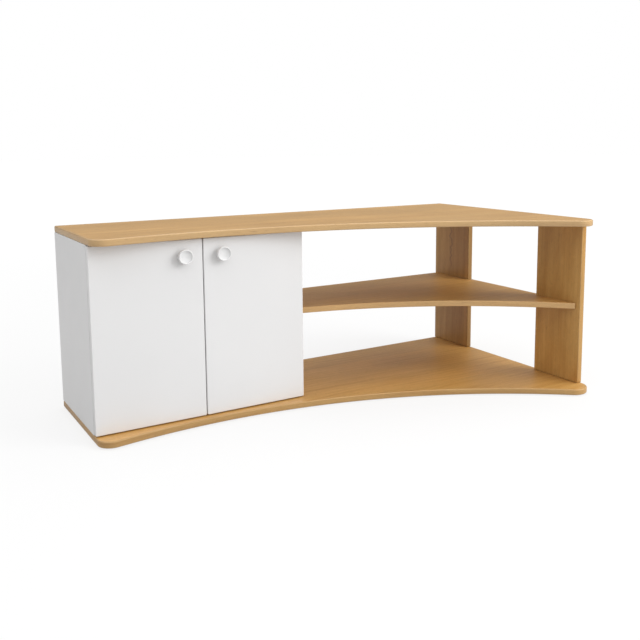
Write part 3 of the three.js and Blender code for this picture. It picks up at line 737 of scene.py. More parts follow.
class Workpiece:
    """A mesh in the making, built from closed bodies."""

    def __init__(self) -> None:
        """Starts with no bodies."""
        self.mesh = bmesh.new()
        self.run = self.mesh.loops.layers.uv.new(RUN_MAP)
        self.rub = self.mesh.verts.layers.float.new(RUB)

    def loft(self, rings: list[Plan], rubs: list[float] | None = None, capped: bool = True) -> None:
        """Joins closed rings of points into one closed body.

        Args:
            rings: Rings in order, all with the same number of points.
            rubs: How rubbed each ring is.
            capped: Whether the first and last ring are closed by a face.
        """
        rows = []
        for index, ring in enumerate(rings):
            row = [self.mesh.verts.new(point) for point in ring]
            for vertex in row:
                vertex[self.rub] = rubs[index] if rubs else 0.0
            rows.append(row)
        widths = self.steps_along([ring[0] for ring in rings])
        longest = max(rings, key=self.girth)
        lengths = self.steps_along([*longest, longest[0]])
        count = len(rings[0])
        for low in range(len(rows) - 1):
            high = low + 1
            for place in range(count):
                after = (place + 1) % count
                corners = (rows[low][place], rows[low][after], rows[high][after], rows[high][place])
                face = self.mesh.faces.new(corners)
                face.material_index = 1
                spots = (
                    (lengths[place], widths[low]),
                    (lengths[place + 1], widths[low]),
                    (lengths[place + 1], widths[high]),
                    (lengths[place], widths[high]),
                )
                for loop, spot in zip(face.loops, spots):
                    loop[self.run].uv = spot
        if capped:
            self.mesh.faces.new(list(reversed(rows[0])))
            self.mesh.faces.new(rows[-1])

    @staticmethod
    def steps_along(points: Plan) -> list[float]:
        """Measures along a line of points.

        Args:
            points: Points of the line.

        Returns:
            Distance from the first point to each point.
        """
        total = 0.0
        distances = [0.0]
        for before, after in zip(points, points[1:]):
            total += (after - before).length
            distances.append(total)
        return distances

    @staticmethod
    def girth(ring: Plan) -> float:
        """Gives the length round a ring."""
        return sum((after - before).length for before, after in zip(ring, ring[1:]))

    def plank(
        self,
        plan: Plan,
        facing: Facing,
        span: tuple[float, float],
        roundings: tuple[float, float],
        steps: int = 5,
    ) -> None:
        """Adds a flat board with rounded arrises.

        Args:
            plan: Outline, anticlockwise when seen against the thickness direction.
            facing: Direction of the thickness.
            span: Lowest and highest place along the thickness.
            roundings: Radius of the arris round the lower and the upper face.
            steps: Straight pieces across each rounding.
        """
        stations = []
        flat_rim = 0.5 * MM  # keeps the shading of the rounding off the flat face
        for level, radius, sign in ((span[0], roundings[0], 1), (span[1], roundings[1], -1)):
            half = [(radius + flat_rim, level, 0.0)]
            for step in range(steps + 1):
                angle = QUARTER * step / steps
                depth = radius * (1 - math.sin(angle))
                height = level + sign * radius * (1 - math.cos(angle))
                half.append((depth, height, math.sin(2 * angle)))
            stations += half if sign > 0 else list(reversed(half))
        rings = []
        for depth, height, _ in stations:
            rings.append([self.spot(point, height, facing) for point in inset(plan, depth)])
        self.loft(rings, [rub for _, _, rub in stations])

    @staticmethod
    def spot(point: Vector, height: float, facing: Facing) -> Vector:
        """Turns a plan point and a height into a place on the cabinet.

        Args:
            point: Point of the plan.
            height: Place along the thickness.
            facing: Direction of the thickness.

        Returns:
            The place.
        """
        if facing is Facing.UP:
            return Vector((point.x, point.y, height))
        if facing is Facing.ACROSS:
            return Vector((height, point.x, point.y))
        return Vector((point.y, height, point.x))

    def turn(self, profile: Plan, place: Matrix, steps: int, capped: bool = False) -> None:
        """Adds a turned body.

        Args:
            profile: Points of radius and height, from low to high outside the body.
            place: Where the axis stands and points.
            steps: Straight pieces round the axis.
            capped: Whether flat faces close its ends, for a profile that stays off the axis.
        """
        rings = []
        for point in profile:
            ring = []
            for step in range(steps):
                angle = 2 * math.pi * step / steps
                ring.append(place @ Vector((point.x * math.cos(angle), point.x * math.sin(angle), point.y)))
            rings.append(ring)
        self.loft(rings, capped=capped)

    def rod(self, start: Vector, end: Vector, radius: float, steps: int = 32) -> None:
        """Adds a plain round rod with flat ends.

        Args:
            start: Middle of one end.
            end: Middle of the other end.
            radius: Radius of the rod.
            steps: Straight pieces round it.
        """
        profile = [Vector((radius, 0)), Vector((radius, (end - start).length))]
        self.turn(profile, upright_at(start, end - start), steps, capped=True)

    def merge(self, other: "Workpiece") -> None:
        """Adds the bodies of another workpiece.

        Args:
            other: Workpiece that is used up.
        """
        carried = bpy.data.meshes.new("carried")
        other.mesh.to_mesh(carried)
        self.mesh.from_mesh(carried)
        bpy.data.meshes.remove(carried)
        other.mesh.free()

    def to_object(self, name: str, finishes: list[Finish]) -> bpy.types.Object:
        """Ends the work and puts the mesh in the scene.

        Args:
            name: Name of the object.
            finishes: Finish of the flat faces, then of the edges.

        Returns:
            The object.
        """
        bmesh.ops.remove_doubles(self.mesh, verts=self.mesh.verts[:], dist=1e-6)
        bmesh.ops.recalc_face_normals(self.mesh, faces=self.mesh.faces[:])
        for face in self.mesh.faces:
            face.material_index = min(face.material_index, len(finishes) - 1)
        mesh = bpy.data.meshes.new(name)
        self.mesh.to_mesh(mesh)
        self.mesh.free()
        for finish in finishes:
            mesh.materials.append(finish.material())
        made = bpy.data.objects.new(name, mesh)
        bpy.context.scene.collection.objects.link(made)
        return made


def upright_at(origin: Vector, direction: Vector) -> Matrix:
    """Gives the placing that stands an axis at a point.

    Args:
        origin: Where the axis starts.
        direction: Where it points.

    Returns:
        The placing, with its own Z along the axis.
    """
    return Matrix.Translation(origin) @ direction.to_track_quat("Z", "Y").to_matrix().to_4x4()


def settle(made: bpy.types.Object) -> None:
    """Keeps the result of an object's modifiers as its mesh.

    Args:
        made: Object with modifiers.
    """
    graph = bpy.context.evaluated_depsgraph_get()
    result = bpy.data.meshes.new_from_object(made.evaluated_get(graph))
    made.modifiers.clear()
    made.data = result


def carve(made: bpy.types.Object, cutter: Workpiece, inside: Finish) -> None:
    """Cuts holes into a piece.

    Args:
        made: Piece to cut.
        cutter: Bodies that are taken away.
        inside: Finish of the cut walls.
    """
    tool = cutter.to_object("cutter", [inside])
    cut = made.modifiers.new("cut", "BOOLEAN")
    cut.operation = "DIFFERENCE"
    cut.solver = "EXACT"
    cut.material_mode = "TRANSFER"
    cut.object = tool
    settle(made)
    bpy.data.objects.remove(tool)


def smooth(made: bpy.types.Object, sharpest: float = 32.0) -> None:
    """Shades a piece smooth, apart from edges sharper than an angle in degrees."""
    made.data.shade_smooth()
    made.data.set_sharp_from_angle(angle=math.radians(sharpest))


class Register:
    """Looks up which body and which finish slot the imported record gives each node."""

    def __init__(self, record: dict) -> None:
        """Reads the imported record.

        Args:
            record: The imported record.
        """
        bodies = record["behaviour"]["bodies"]
        self.body = {node: body for body, nodes in bodies.items() for node in nodes}
        self.slot = {row["node"]: row["material_slot"] for row in record["subparts"]}


class SubAssembly(ABC):
    """A group of pieces that is made together."""

    register = Register(frame["record"])

    @abstractmethod
    def build(self) -> None:
        """Makes and dresses every piece of the group."""

    def hand_over(self, work: Workpiece, node: str, *finishes: Finish) -> None:
        """Ends a workpiece that needs no holes and puts it on its body.

        Args:
            work: Workpiece that is ready.
            node: CAD node that it stands for.
            *finishes: Finish of the flat faces, then of the edges.
        """
        self.seat(work.to_object(f"{node}_piece", list(finishes)), node)

    def seat(self, made: bpy.types.Object, node: str) -> None:
        """Puts a finished piece on its body, in place of its node.

        Args:
            made: Finished piece.
            node: CAD node that it stands for.
        """
        smooth(made)
        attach(made, self.register.body[node])
        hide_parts(node)
        LOG.info("%s: %d faces on %s", made.name, len(made.data.polygons), self.register.body[node])


def extent(node: str) -> tuple[Vector, Vector, Vector]:
    """Gives the lowest corner, the highest corner and the middle of a node's box."""
    low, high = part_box(node)
    return low, high, (low + high) / 2


# ---- Holes that the fixings need


@dataclass(frozen=True)
class Fixing:
    """A round fixing that lies along one axis, and the hole it needs."""

    node: str
    facing: Facing
    radius: float
    room: float = 1 * MM  # past both ends

    def drill(self, cutter: Workpiece) -> None:
        """Adds this fixing's hole to a cutter.

        Args:
            cutter: Workpiece that collects the holes.
        """
        low, high, middle = extent(self.node)
        start, end = middle.copy(), middle.copy()
        axis = "xyz".index(self.facing.value)
        start[axis] = low[axis] - self.room
        end[axis] = high[axis] + self.room
        cutter.rod(start, end, self.radius)


DOWEL_HOLE = 4.3 * MM
SCREW_HOLE = 3.4 * MM
SCREW_HEAD_HOLE = 5.4 * MM
PIN_HOLE = 2.6 * MM
STUD_HOLE = 2.6 * MM
STUD_SPACING = 32 * MM
SCREW_SINK = 0.1 * MM  # how far a screw head sits into its face
GLIDE_PIN_HOLE = 2.8 * MM
PLACES = ("back", "front")
HEIGHTS = ("lower", "upper")
UPRIGHTS = ("left_side", "partition", "rear_corner", "right_end")


def upright_fixings(upright: str) -> list[Fixing]:
    """Lists the dowels and long screws of one upright panel.

    Args:
        upright: Name of the panel.

    Returns:
        Its four fixings.
    """
    fixings = []
    for place in PLACES:
        fixings.append(Fixing(f"{upright}_{place}_dowel", Facing.UP, DOWEL_HOLE))
        fixings.append(Fixing(f"{upright}_{place}_screw", Facing.UP, SCREW_HOLE))
    return fixings


# ---- Oak boards


@dataclass
class OakBoards(SubAssembly):
    """Top and bottom boards: straight back, hollow front, both front corners rounded."""

    left_depth: float = 413 * MM
    right_depth: float = 814 * MM
    front_radius: float = 1520 * MM
    left_corner: float = 38 * MM
    right_corner: float = 46 * MM
    arris: float = 3.4 * MM
    rear_corner: float = 4.2 * MM
    corner_steps: int = 14
    front_steps: int = 84

    def build(self) -> None:
        """Makes and dresses both boards."""
        boards = {  # where in the log, painted sheen of the face (sky reflection on the top), tone of the edge with painted shade on the bottom board, painted sheen of the edge
            "top_board": ((0.35, 0.02, 0.0), 0.17, 0.97, 0.45),
            "bottom_board": ((2.1, 0.43, 0.3), 0.0, 0.80, 0.12),
        }
        for node, (cut, painted_sheen, edge_light_and_tone, edge_sheen) in boards.items():
            board = self.shape(node)
            face = Oak(f"oak_{node}_face", Grain.LENGTHWISE, cut, painted_sheen=painted_sheen)
            edge = oak_edge(node, (cut[0] + 3, 1.7, 0.4), edge_light_and_tone, edge_sheen)
            made = board.to_object(f"{node}_piece", [face, edge])
            carve(made, self.holes(node), BoardCore())
            self.seat(made, node)

    def outline(self, node: str) -> Plan:
        """Draws the outline that both boards share.

        Args:
            node: CAD node of the board.

        Returns:
            Outline, anticlockwise from above.
        """
        low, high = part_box(node)
        left, right, back = low.x, high.x, high.y
        left_end = Vector((left, back - self.left_depth))
        right_end = Vector((right, back - self.right_depth))
        front = hollow_centre(left_end, right_end, self.front_radius)
        first = self.corner_centre(front, left + self.left_corner, self.left_corner)
        second = self.corner_centre(front, right - self.right_corner, self.right_corner)
        meeting = angle_to(first, front) + 2 * math.pi
        inner = back - self.rear_corner
        hollow = arc(
            front, self.front_radius, angle_to(front, first), angle_to(front, second), self.front_steps
        )
        return [
            *arc(Vector((right - self.rear_corner, inner)), self.rear_corner, 0, QUARTER, 4),
            *arc(Vector((left + self.rear_corner, inner)), self.rear_corner, QUARTER, math.pi, 4),
            *arc(first, self.left_corner, math.pi, meeting, self.corner_steps),
            *hollow[1:-1],
            *arc(second, self.right_corner, angle_to(second, front), 0.0, self.corner_steps),
        ]

    def corner_centre(self, front: Vector, x: float, radius: float) -> Vector:
        """Finds the centre of a rounded corner that runs into the hollow front.

        Args:
            front: Centre of the front curve.
            x: Place of the corner's centre along the board.
            radius: Radius of the corner.

        Returns:
            The centre.
        """
        reach = self.front_radius + radius
        return Vector((x, front.y + math.sqrt(reach**2 - (x - front.x) ** 2)))

    def shape(self, node: str) -> Workpiece:
        """Makes the plain board.

        Args:
            node: CAD node of the board.

        Returns:
            The board without holes.
        """
        low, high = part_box(node)
        board = Workpiece()
        board.plank(self.outline(node), Facing.UP, (low.z, high.z), (self.arris, self.arris), 6)
        return board

    def holes(self, node: str) -> Workpiece:
        """Collects the holes of one board.

        Args:
            node: CAD node of the board.

        Returns:
            The cutter.
        """
        cutter = Workpiece()
        for upright in UPRIGHTS:
            for place in PLACES:
                if node == "top_board":
                    Fixing(f"{upright}_{place}_dowel", Facing.UP, DOWEL_HOLE).drill(cutter)
                    continue
                screw = f"{upright}_{place}_screw"
                middle = extent(screw)[2]
                below = Vector((middle.x, middle.y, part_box(node)[0].z - BOARD))
                sink = BOARD + LongScrews.head + 2 * SEAT_GAP
                profile = [
                    Vector((0, 0)),
                    Vector((SCREW_HEAD_HOLE, 0)),
                    Vector((SCREW_HEAD_HOLE, sink)),
                    Vector((SCREW_HOLE, sink)),
                    Vector((SCREW_HOLE, 3 * BOARD)),
                    Vector((0, 3 * BOARD)),
                ]
                cutter.turn(profile, Matrix.Translation(below), 32)
        if node == "bottom_board":
            for glide in Glides.names():
                Fixing(glide, Facing.UP, GLIDE_PIN_HOLE).drill(cutter)
        return cutter


# ---- Open bay


@dataclass
class OpenBay(SubAssembly):
    """Open shelf with a hollow front, and the two upright oak panels that close the right-hand side."""

    shelf_depth: float = 274 * MM  # where the shelf meets the partition
    shelf_radius: float = 1302 * MM
    shelf_setback: float = 10 * MM  # from the front of the end panel to the corner of the shelf
    arris: float = 2.6 * MM
    panel_arris: float = 2.0 * MM
    corner_more: float = 0.8 * MM  # corners are rounder than arrises by this
    front_steps: int = 64

    def build(self) -> None:
        """Makes and dresses the shelf and both panels."""
        self.make_shelf()
        line = (0.287, 0.29, 0.49)
        # painted shade: the rear corner panel is toned darker, its front edge most, as it stands in shade
        # deep in the bay
        self.make_panel("rear_corner_panel", "rear_corner", (0.62, 0.13, 0.0), (0.84, 0.60), line)
        self.make_panel("right_end_panel", "right_end", (1.87, 0.31, 0.0), (1.0, 0.90), None)

    def make_shelf(self) -> None:
        """Makes the open shelf."""
        low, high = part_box("open_shelf")
        shelf = Workpiece()
        plan = soften(self.shelf_outline(), self.arris + self.corner_more)
        shelf.plank(plan, Facing.UP, (low.z, high.z), (self.arris, self.arris), 6)
        face = Oak("oak_open_shelf_face", Grain.LENGTHWISE, (4.3, 0.87, 0.1), tone_and_painted_light=0.94)
        # painted light: the shelf's edge is made brighter and paler, as light from above falls on it
        edge = oak_edge("open_shelf", (5.2, 2.4, 0.7), 1.16, 0.35)
        made = shelf.to_object("open_shelf_piece", [face, edge])
        cutter = Workpiece()
        for name in ShelfDowels.names():
            Fixing(name, Facing.ACROSS, DOWEL_HOLE).drill(cutter)
        carve(made, cutter, BoardCore())
        self.seat(made, "open_shelf")

    def shelf_outline(self) -> Plan:
        """Draws the shelf, notched round both panels.

        Returns:
            Outline, anticlockwise from above.
        """
        low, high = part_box("open_shelf")
        corner_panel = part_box("rear_corner_panel")
        end_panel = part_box("right_end_panel")
        notch = corner_panel[0].x - SEAT_GAP
        corner_front = corner_panel[0].y - SEAT_GAP
        end_back = end_panel[1].y + SEAT_GAP
        start = Vector((low.x, high.y - self.shelf_depth))
        end = Vector((notch, end_panel[0].y + self.shelf_setback))
        centre = hollow_centre(start, end, self.shelf_radius)
        angles = (angle_to(centre, start), angle_to(centre, end))
        front = arc(centre, self.shelf_radius, *angles, self.front_steps)
        return [
            Vector((notch, high.y)),
            Vector((low.x, high.y)),
            *front,
            Vector((notch, end_back)),
            Vector((high.x, end_back)),
            Vector((high.x, corner_front)),
            Vector((notch, corner_front)),
        ]

    def make_panel(
        self,
        node: str,
        upright: str,
        cut: tuple[float, float, float],
        shade_and_tones: tuple[float, float],
        mineral_line: tuple[float, float, float] | None,
    ) -> None:
        """Makes one upright oak panel.

        Args:
            node: CAD node of the panel.
            upright: Name that its fixings carry.
            cut: Where in the log its veneer lies.
            shade_and_tones: Tone of its faces and of its edges, which for the rear corner panel is painted
                shade.
            mineral_line: Dark line in its veneer, if it has one.
        """
        low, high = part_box(node)
        panel = Workpiece()
        plan = soften(rectangle((low.y, low.z), (high.y, high.z)), self.panel_arris + self.corner_more)
        panel.plank(plan, Facing.ACROSS, (low.x, high.x), (self.panel_arris, self.panel_arris))
        leaves = {"figure": 0.6, "leaf": 0.092, "leaf_start": 0.03}
        face = Oak(
            f"oak_{node}_face", Grain.UPRIGHT, cut, tone_and_painted_light=shade_and_tones[0], mineral_line=mineral_line, **leaves
        )
        edge = oak_edge(node, (cut[0] + 2, 0.6, 0.2), shade_and_tones[1])
        made = panel.to_object(f"{node}_piece", [face, edge])
        cutter = Workpiece()
        for fixing in upright_fixings(upright):
            fixing.drill(cutter)
        Fixing(f"shelf_dowel_{upright}", Facing.ACROSS, DOWEL_HOLE).drill(cutter)
        carve(made, cutter, BoardCore())
        self.seat(made, node)


# ---- Cupboard


@dataclass
class CupboardBox(SubAssembly):
    """White side panels, thin back and inner shelf of the cupboard."""

    arris: float = 1.0 * MM
    back_arris: float = 0.4 * MM
    corner_more: float = 0.7 * MM  # corners are rounder than arrises by this
    groove_room: float = 0.3 * MM
    groove_depth: float = 6 * MM
    stud_reach: float = 10 * MM

    def build(self) -> None:
        """Makes and dresses the four pieces."""
        self.make_side("left_side_panel", "left_side", "left", 1)
        self.make_side("partition_panel", "partition", "right", -1)
        self.make_flat("cupboard_back", Facing.FORWARD, self.back_arris, Hardboard())
        self.make_flat("cupboard_shelf", Facing.UP, self.arris, Lacquer())

    def make_flat(self, node: str, facing: Facing, arris: float, finish: Finish) -> None:
        """Makes a plain rectangular board.

        Args:
            node: CAD node of the board.
            facing: Direction of its thickness.
            arris: Radius of its arrises.
            finish: Its finish.
        """
        self.hand_over(self.board(node, facing, arris), node, finish)

    def board(self, node: str, facing: Facing, arris: float) -> Workpiece:
        """Makes a rectangular board that fills a node's box.

        Args:
            node: CAD node of the board.
            facing: Direction of its thickness.
            arris: Radius of its arrises.

        Returns:
            The board.
        """
        low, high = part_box(node)
        board = Workpiece()
        axes = {Facing.UP: (0, 1, 2), Facing.ACROSS: (1, 2, 0), Facing.FORWARD: (2, 0, 1)}[facing]
        plan = rectangle((low[axes[0]], low[axes[1]]), (high[axes[0]], high[axes[1]]))
        span = (low[axes[2]], high[axes[2]])
        board.plank(soften(plan, arris + self.corner_more), facing, span, (arris, arris), 4)
        return board

    def make_side(self, node: str, upright: str, side: str, inward: int) -> None:
        """Makes one side panel of the cupboard.

        Args:
            node: CAD node of the panel.
            upright: Name that its fixings carry.
            side: Side whose hinges and shelf pins it holds.
            inward: +1 if the cupboard lies to its right, -1 if to its left.
        """
        low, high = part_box(node)
        face = high.x if inward > 0 else low.x
        made = self.board(node, Facing.ACROSS, self.arris).to_object(f"{node}_piece", [Lacquer()])
        cutter = Workpiece()
        for fixing in upright_fixings(upright):
            fixing.drill(cutter)
        for place in PLACES:
            Fixing(f"shelf_pin_{side}_{place}", Facing.ACROSS, PIN_HOLE).drill(cutter)
        for height in HEIGHTS:
            plate = extent(f"{side}_{height}_hinge_plate")[2]
            for offset in (-STUD_SPACING / 2, STUD_SPACING / 2):
                start = Vector((face - inward * self.stud_reach, plate.y, plate.z + offset))
                end = start + Vector((inward * 2 * self.stud_reach, 0, 0))
                cutter.rod(*sorted((start, end), key=lambda point: point.x), STUD_HOLE)
        if upright == "partition":
            for place in PLACES:
                Fixing(f"shelf_dowel_partition_{place}", Facing.ACROSS, DOWEL_HOLE).drill(cutter)
        carve(made, cutter, BoardCore())
        carve(made, self.groove(node, face, inward), BoardCore())
        self.seat(made, node)

    def groove(self, node: str, face: float, inward: int) -> Workpiece:
        """Makes the cutter for the groove that holds the back.

        Args:
            node: CAD node of the panel.
            face: Place of the panel's inner face.
            inward: +1 if the cupboard lies to its right, -1 if to its left.

        Returns:
            The cutter.
        """
        low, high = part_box(node)
        back_low, back_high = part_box("cupboard_back")
        span = sorted((face - inward * self.groove_depth, face + inward * self.groove_depth))
        heights = (low.z - BOARD, high.z + BOARD)
        plan = rectangle((span[0], back_low.y - self.groove_room), (span[1], back_high.y + self.groove_room))
        cutter = Workpiece()
        cutter.loft([[point.to_3d() + Vector((0, 0, height)) for point in plan] for height in heights])
        return cutter


# ---- Screw heads and threads, shared by several fittings


@dataclass(frozen=True)
class ScrewHead:
    """A domed screw head with a driver recess, standing on a face."""

    radius: float
    height: float
    recess: Recess = Recess.CROSS
    dome_share: float = 0.55  # of the height, as the radius of the rounded rim
    reach_share: float = 0.62  # of the radius, as the reach of the recess
    depth_share: float = 0.7

    def make(self, origin: Vector, direction: Vector) -> Workpiece:
        """Makes the head as its own closed body.

        Args:
            origin: Middle of the face that it stands on.
            direction: Where the head points.

        Returns:
            The head.
        """
        rim = self.height * self.dome_share
        dome = arc(Vector((self.radius - rim, self.height - rim)), rim, 0, QUARTER, 4)
        profile = [Vector((0, 0)), Vector((self.radius, 0)), *dome, Vector((0, self.height))]
        head = Workpiece()
        head.turn(profile, Matrix.Identity(4), 28)
        made = head.to_object("head", [NickelSteel()])
        carve(made, self.driver_shape(), NickelSteel())
        made.data.transform(upright_at(origin, direction))
        result = Workpiece()
        result.mesh.from_mesh(made.data)
        bpy.data.objects.remove(made)
        return result

    def driver_shape(self) -> Workpiece:
        """Makes the cutter for the recess.

        Returns:
            The cutter.
        """
        reach = self.radius * self.reach_share
        arm = reach * 0.26
        if self.recess is Recess.HEXAGON:
            plan = arc(Vector((0, 0)), reach * 0.8, 0, 2 * math.pi, 6)[:-1]
        else:
            plan = []
            for turn in range(4):
                angle = turn * QUARTER
                for across, along in ((-arm, reach), (arm, reach), (arm, arm)):
                    x = along * math.cos(angle) + across * math.sin(angle)
                    y = along * math.sin(angle) - across * math.cos(angle)
                    plan.append(Vector((x, y)))
        bottom = self.height * (1 - self.depth_share)
        rings = []
        for height, scale in ((bottom, 0.72), (self.height * 1.3, 1.05)):
            rings.append([Vector((point.x * scale, point.y * scale, height)) for point in plan])
        cutter = Workpiece()
        cutter.loft(rings)
        return cutter


@dataclass(frozen=True)
class Thread:
    """The threaded shank of a screw, with ridges and a pointed end."""

    radius: float
    pitch: float
    depth: float
    plain: float  # length without thread, at the start
    tip_share: float = 0.35  # of the radius, where the point starts
    point_share: float = 0.3  # of the radius, as the length of the point

    def profile(self, length: float) -> Plan:
        """Draws the shank.

        Args:
            length: Length of the shank.

        Returns:
            Points of radius and height, from the head to the tip.
        """
        root = self.radius - self.depth
        profile = [Vector((0, 0)), Vector((root, 0)), Vector((root, self.plain))]
        for ridge in range(int((length - self.plain - self.radius) / self.pitch)):
            base = self.plain + ridge * self.pitch
            profile.append(Vector((self.radius, base + self.pitch * 0.5)))
            profile.append(Vector((root, base + self.pitch)))
        profile.append(Vector((self.radius * self.tip_share, length - self.point_share * self.radius)))
        profile.append(Vector((0, length)))
        return profile


# ---- Doors


@dataclass
class Door(SubAssembly):
    """A lacquered door with its knob, knob screw, bumper and hinge cups."""

    side: str
    front_arris: float = 1.8 * MM
    back_arris: float = 2.4 * MM
    corner_more: float = 0.6 * MM  # corners are rounder than arrises by this
    cup_hole: float = 17.5 * MM
    screw_room: float = 2.3 * MM
    knob_rim: float = 3.8 * MM
    knob_dish: float = 6.5 * MM
    knob_stem: float = 9 * MM
    knob_socket: float = 10 * MM  # depth of the blind hole for its screw
    knob_waist: float = 0.22  # share of its height that stays straight
    knob_throat: float = 4 * MM  # radius where the stem flares
    knob_lip: float = 2.4 * MM  # radius at the back of the disc
    knob_screw_head: float = 2.1 * MM
    knob_thread: Thread = Thread(1.9 * MM, 0.7 * MM, 0.25 * MM, 2 * MM)
    bumper_edge: float = 1 * MM
    cup_radius: float = 17.2 * MM
    cup_wall: float = 0.8 * MM
    cup_bend: float = 2 * MM
    flange: float = 1.2 * MM
    flange_rim: float = 1.8 * MM  # past the cup
    flange_arrises: tuple[float, float] = (0.2 * MM, 0.5 * MM)
    ear_reach: float = 25 * MM
    ear_half: float = 6.5 * MM
    ear_corner: float = 2 * MM
    ear_screw: ScrewHead = ScrewHead(3.4 * MM, 1.1 * MM)
    ear_screw_inset: float = 5 * MM  # from the end of the ear

    def build(self) -> None:
        """Makes and dresses the door and what is fixed to it."""
        self.make_leaf()
        self.make_knob()
        self.make_knob_screw()
        self.make_bumper()
        for height in HEIGHTS:
            self.make_cup(f"{self.side}_{height}_hinge_cup")

    def make_leaf(self) -> None:
        """Makes the door leaf with its bores."""
        node = f"{self.side}_door"
        low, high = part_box(node)
        leaf = Workpiece()
        plan = soften(rectangle((low.z, low.x), (high.z, high.x)), self.back_arris + self.corner_more, 5)
        leaf.plank(plan, Facing.FORWARD, (low.y, high.y), (self.front_arris, self.back_arris))
        made = leaf.to_object(f"{node}_piece", [Lacquer()])
        cutter = Workpiece()
        for height in HEIGHTS:
            cup_low, cup_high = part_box(f"{self.side}_{height}_hinge_cup")
            middle = (cup_low + cup_high) / 2
            start = Vector((middle.x, cup_low.y - SEAT_GAP, middle.z))
            cutter.rod(start, start + Vector((0, 2 * BOARD, 0)), self.cup_hole, 64)
        Fixing(f"{self.side}_knob_screw", Facing.FORWARD, self.screw_room, 4 * MM).drill(cutter)
        carve(made, cutter, BoardCore())
        self.seat(made, node)

    def make_knob(self) -> None:
        """Turns the knob: short stem, flared disc, thick raised rim round a dished face."""
        node = f"{self.side}_knob"
        low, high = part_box(node)
        radius = (high.x - low.x) / 2
        height = high.y - low.y
        rim = self.knob_rim / 2
        waist = height * self.knob_waist
        throat = Vector((self.knob_stem + self.knob_throat, waist))
        lip = Vector((radius - self.knob_lip, waist + self.knob_throat + self.knob_lip))
        profile = [
            Vector((0, self.knob_socket)),
            Vector((self.screw_room, self.knob_socket)),
            Vector((self.screw_room, 0)),
            Vector((self.knob_stem, 0)),
            Vector((self.knob_stem, waist)),
            *reversed(arc(throat, self.knob_throat, QUARTER, math.pi, 6)),
            *arc(lip, self.knob_lip, -QUARTER, 0, 6),
            *arc(Vector((radius - rim, height - rim)), rim, 0, math.pi, 14),
            Vector((radius - self.knob_rim - 0.2 * MM, height - rim - 0.6 * MM)),
        ]
        bowl_start = profile[-1]
        for step in range(1, 13):
            share = step / 12
            depth = (bowl_start.y - height + self.knob_dish) * (1 - (1 - share) ** 2)
            profile.append(Vector((bowl_start.x * (1 - share), bowl_start.y - depth)))
        middle = (low + high) / 2
        place = upright_at(Vector((middle.x, high.y, middle.z)), TO_FRONT)
        knob = Workpiece()
        knob.turn(profile, place, 96)
        self.hand_over(knob, node, KnobPlastic())

    def make_knob_screw(self) -> None:
        """Makes the machine screw that holds the knob from inside the door."""
        node = f"{self.side}_knob_screw"
        low, high, middle = extent(node)
        seat = Vector((middle.x, high.y - self.knob_screw_head, middle.z))
        screw = ScrewHead((high.x - low.x) / 2, self.knob_screw_head).make(seat, TO_BACK)
        length = high.y - self.knob_screw_head - low.y
        screw.turn(self.knob_thread.profile(length), upright_at(seat, TO_FRONT), 20)
        self.hand_over(screw, node, NickelSteel())

    def make_bumper(self) -> None:
        """Makes the small domed bumper on the back of the door."""
        node = f"{self.side}_bumper"
        low, high, middle = extent(node)
        radius = (high.x - low.x) / 2
        height = high.y - low.y
        centre = Vector((radius - self.bumper_edge, height - self.bumper_edge))
        edge = arc(centre, self.bumper_edge, 0, QUARTER, 4)
        profile = [Vector((0, 0)), Vector((radius, 0)), *edge, Vector((0, height))]
        bumper = Workpiece()
        bumper.turn(profile, upright_at(Vector((middle.x, low.y, middle.z)), TO_BACK), 32)
        self.hand_over(bumper, node, KnobPlastic())

    def make_cup(self, node: str) -> None:
        """Makes one hinge cup with its eared flange and two screws.

        Args:
            node: CAD node of the cup.
        """
        low, high, middle = extent(node)
        seat = high.y - self.flange
        flange = Workpiece()
        flange.plank(self.ear_outline(middle), Facing.FORWARD, (seat, high.y), self.flange_arrises, 3)
        made = flange.to_object(f"{node}_piece", [NickelSteel()])
        opening = Workpiece()
        below = Vector((middle.x, seat - self.flange, middle.z))
        above = Vector((middle.x, high.y + self.flange, middle.z))
        opening.rod(below, above, self.cup_radius - 0.4 * MM, 64)
        carve(made, opening, NickelSteel())
        whole = Workpiece()
        whole.mesh.from_mesh(made.data)
        bpy.data.objects.remove(made)
        place = upright_at(Vector((middle.x, low.y, middle.z)), TO_BACK)
        whole.turn(self.cup_profile(high.y - low.y), place, 64)
        for sign in (-1, 1):
            reach = self.ear_reach - self.ear_screw_inset
            spot = Vector((middle.x, high.y - SCREW_SINK, middle.z + sign * reach))
            whole.merge(self.ear_screw.make(spot, TO_BACK))
        self.hand_over(whole, node, NickelSteel())

    def cup_profile(self, height: float) -> Plan:
        """Draws the pressed cup, with a rounded floor.

        Args:
            height: Height of the cup with its flange.

        Returns:
            Points of radius and height.
        """
        bend = self.cup_bend
        inner = self.cup_radius - self.cup_wall
        inner_bend = bend - self.cup_wall
        inner_centre = Vector((inner - inner_bend, self.cup_wall + inner_bend))
        top = height - 0.05 * MM  # just inside the flange
        return [
            Vector((0, 0)),
            *arc(Vector((self.cup_radius - bend, bend)), bend, -QUARTER, 0, 4),
            Vector((self.cup_radius, top)),
            Vector((inner, top)),
            *reversed(arc(inner_centre, inner_bend, -QUARTER, 0, 4)),
            Vector((0, self.cup_wall)),
        ]

    def ear_outline(self, middle: Vector) -> Plan:
        """Draws the flange: a disc with an ear above and below for the screws.

        Args:
            middle: Middle of the cup.

        Returns:
            Outline in (height, across) order, anticlockwise.
        """
        radius = self.cup_radius + self.flange_rim
        join = math.asin(self.ear_half / radius)
        points = []
        for facing, sign in ((0.0, -1), (math.pi, 1)):
            points += arc(Vector((0, 0)), radius, facing + join, facing + math.pi - join, 20)
            for across in (-1, 1):
                points.append(Vector((sign * self.ear_reach, sign * across * self.ear_half)))
        shifted = [point + Vector((middle.z, middle.x)) for point in points]
        return soften(shifted, self.ear_corner, 4)


# ---- Hinges


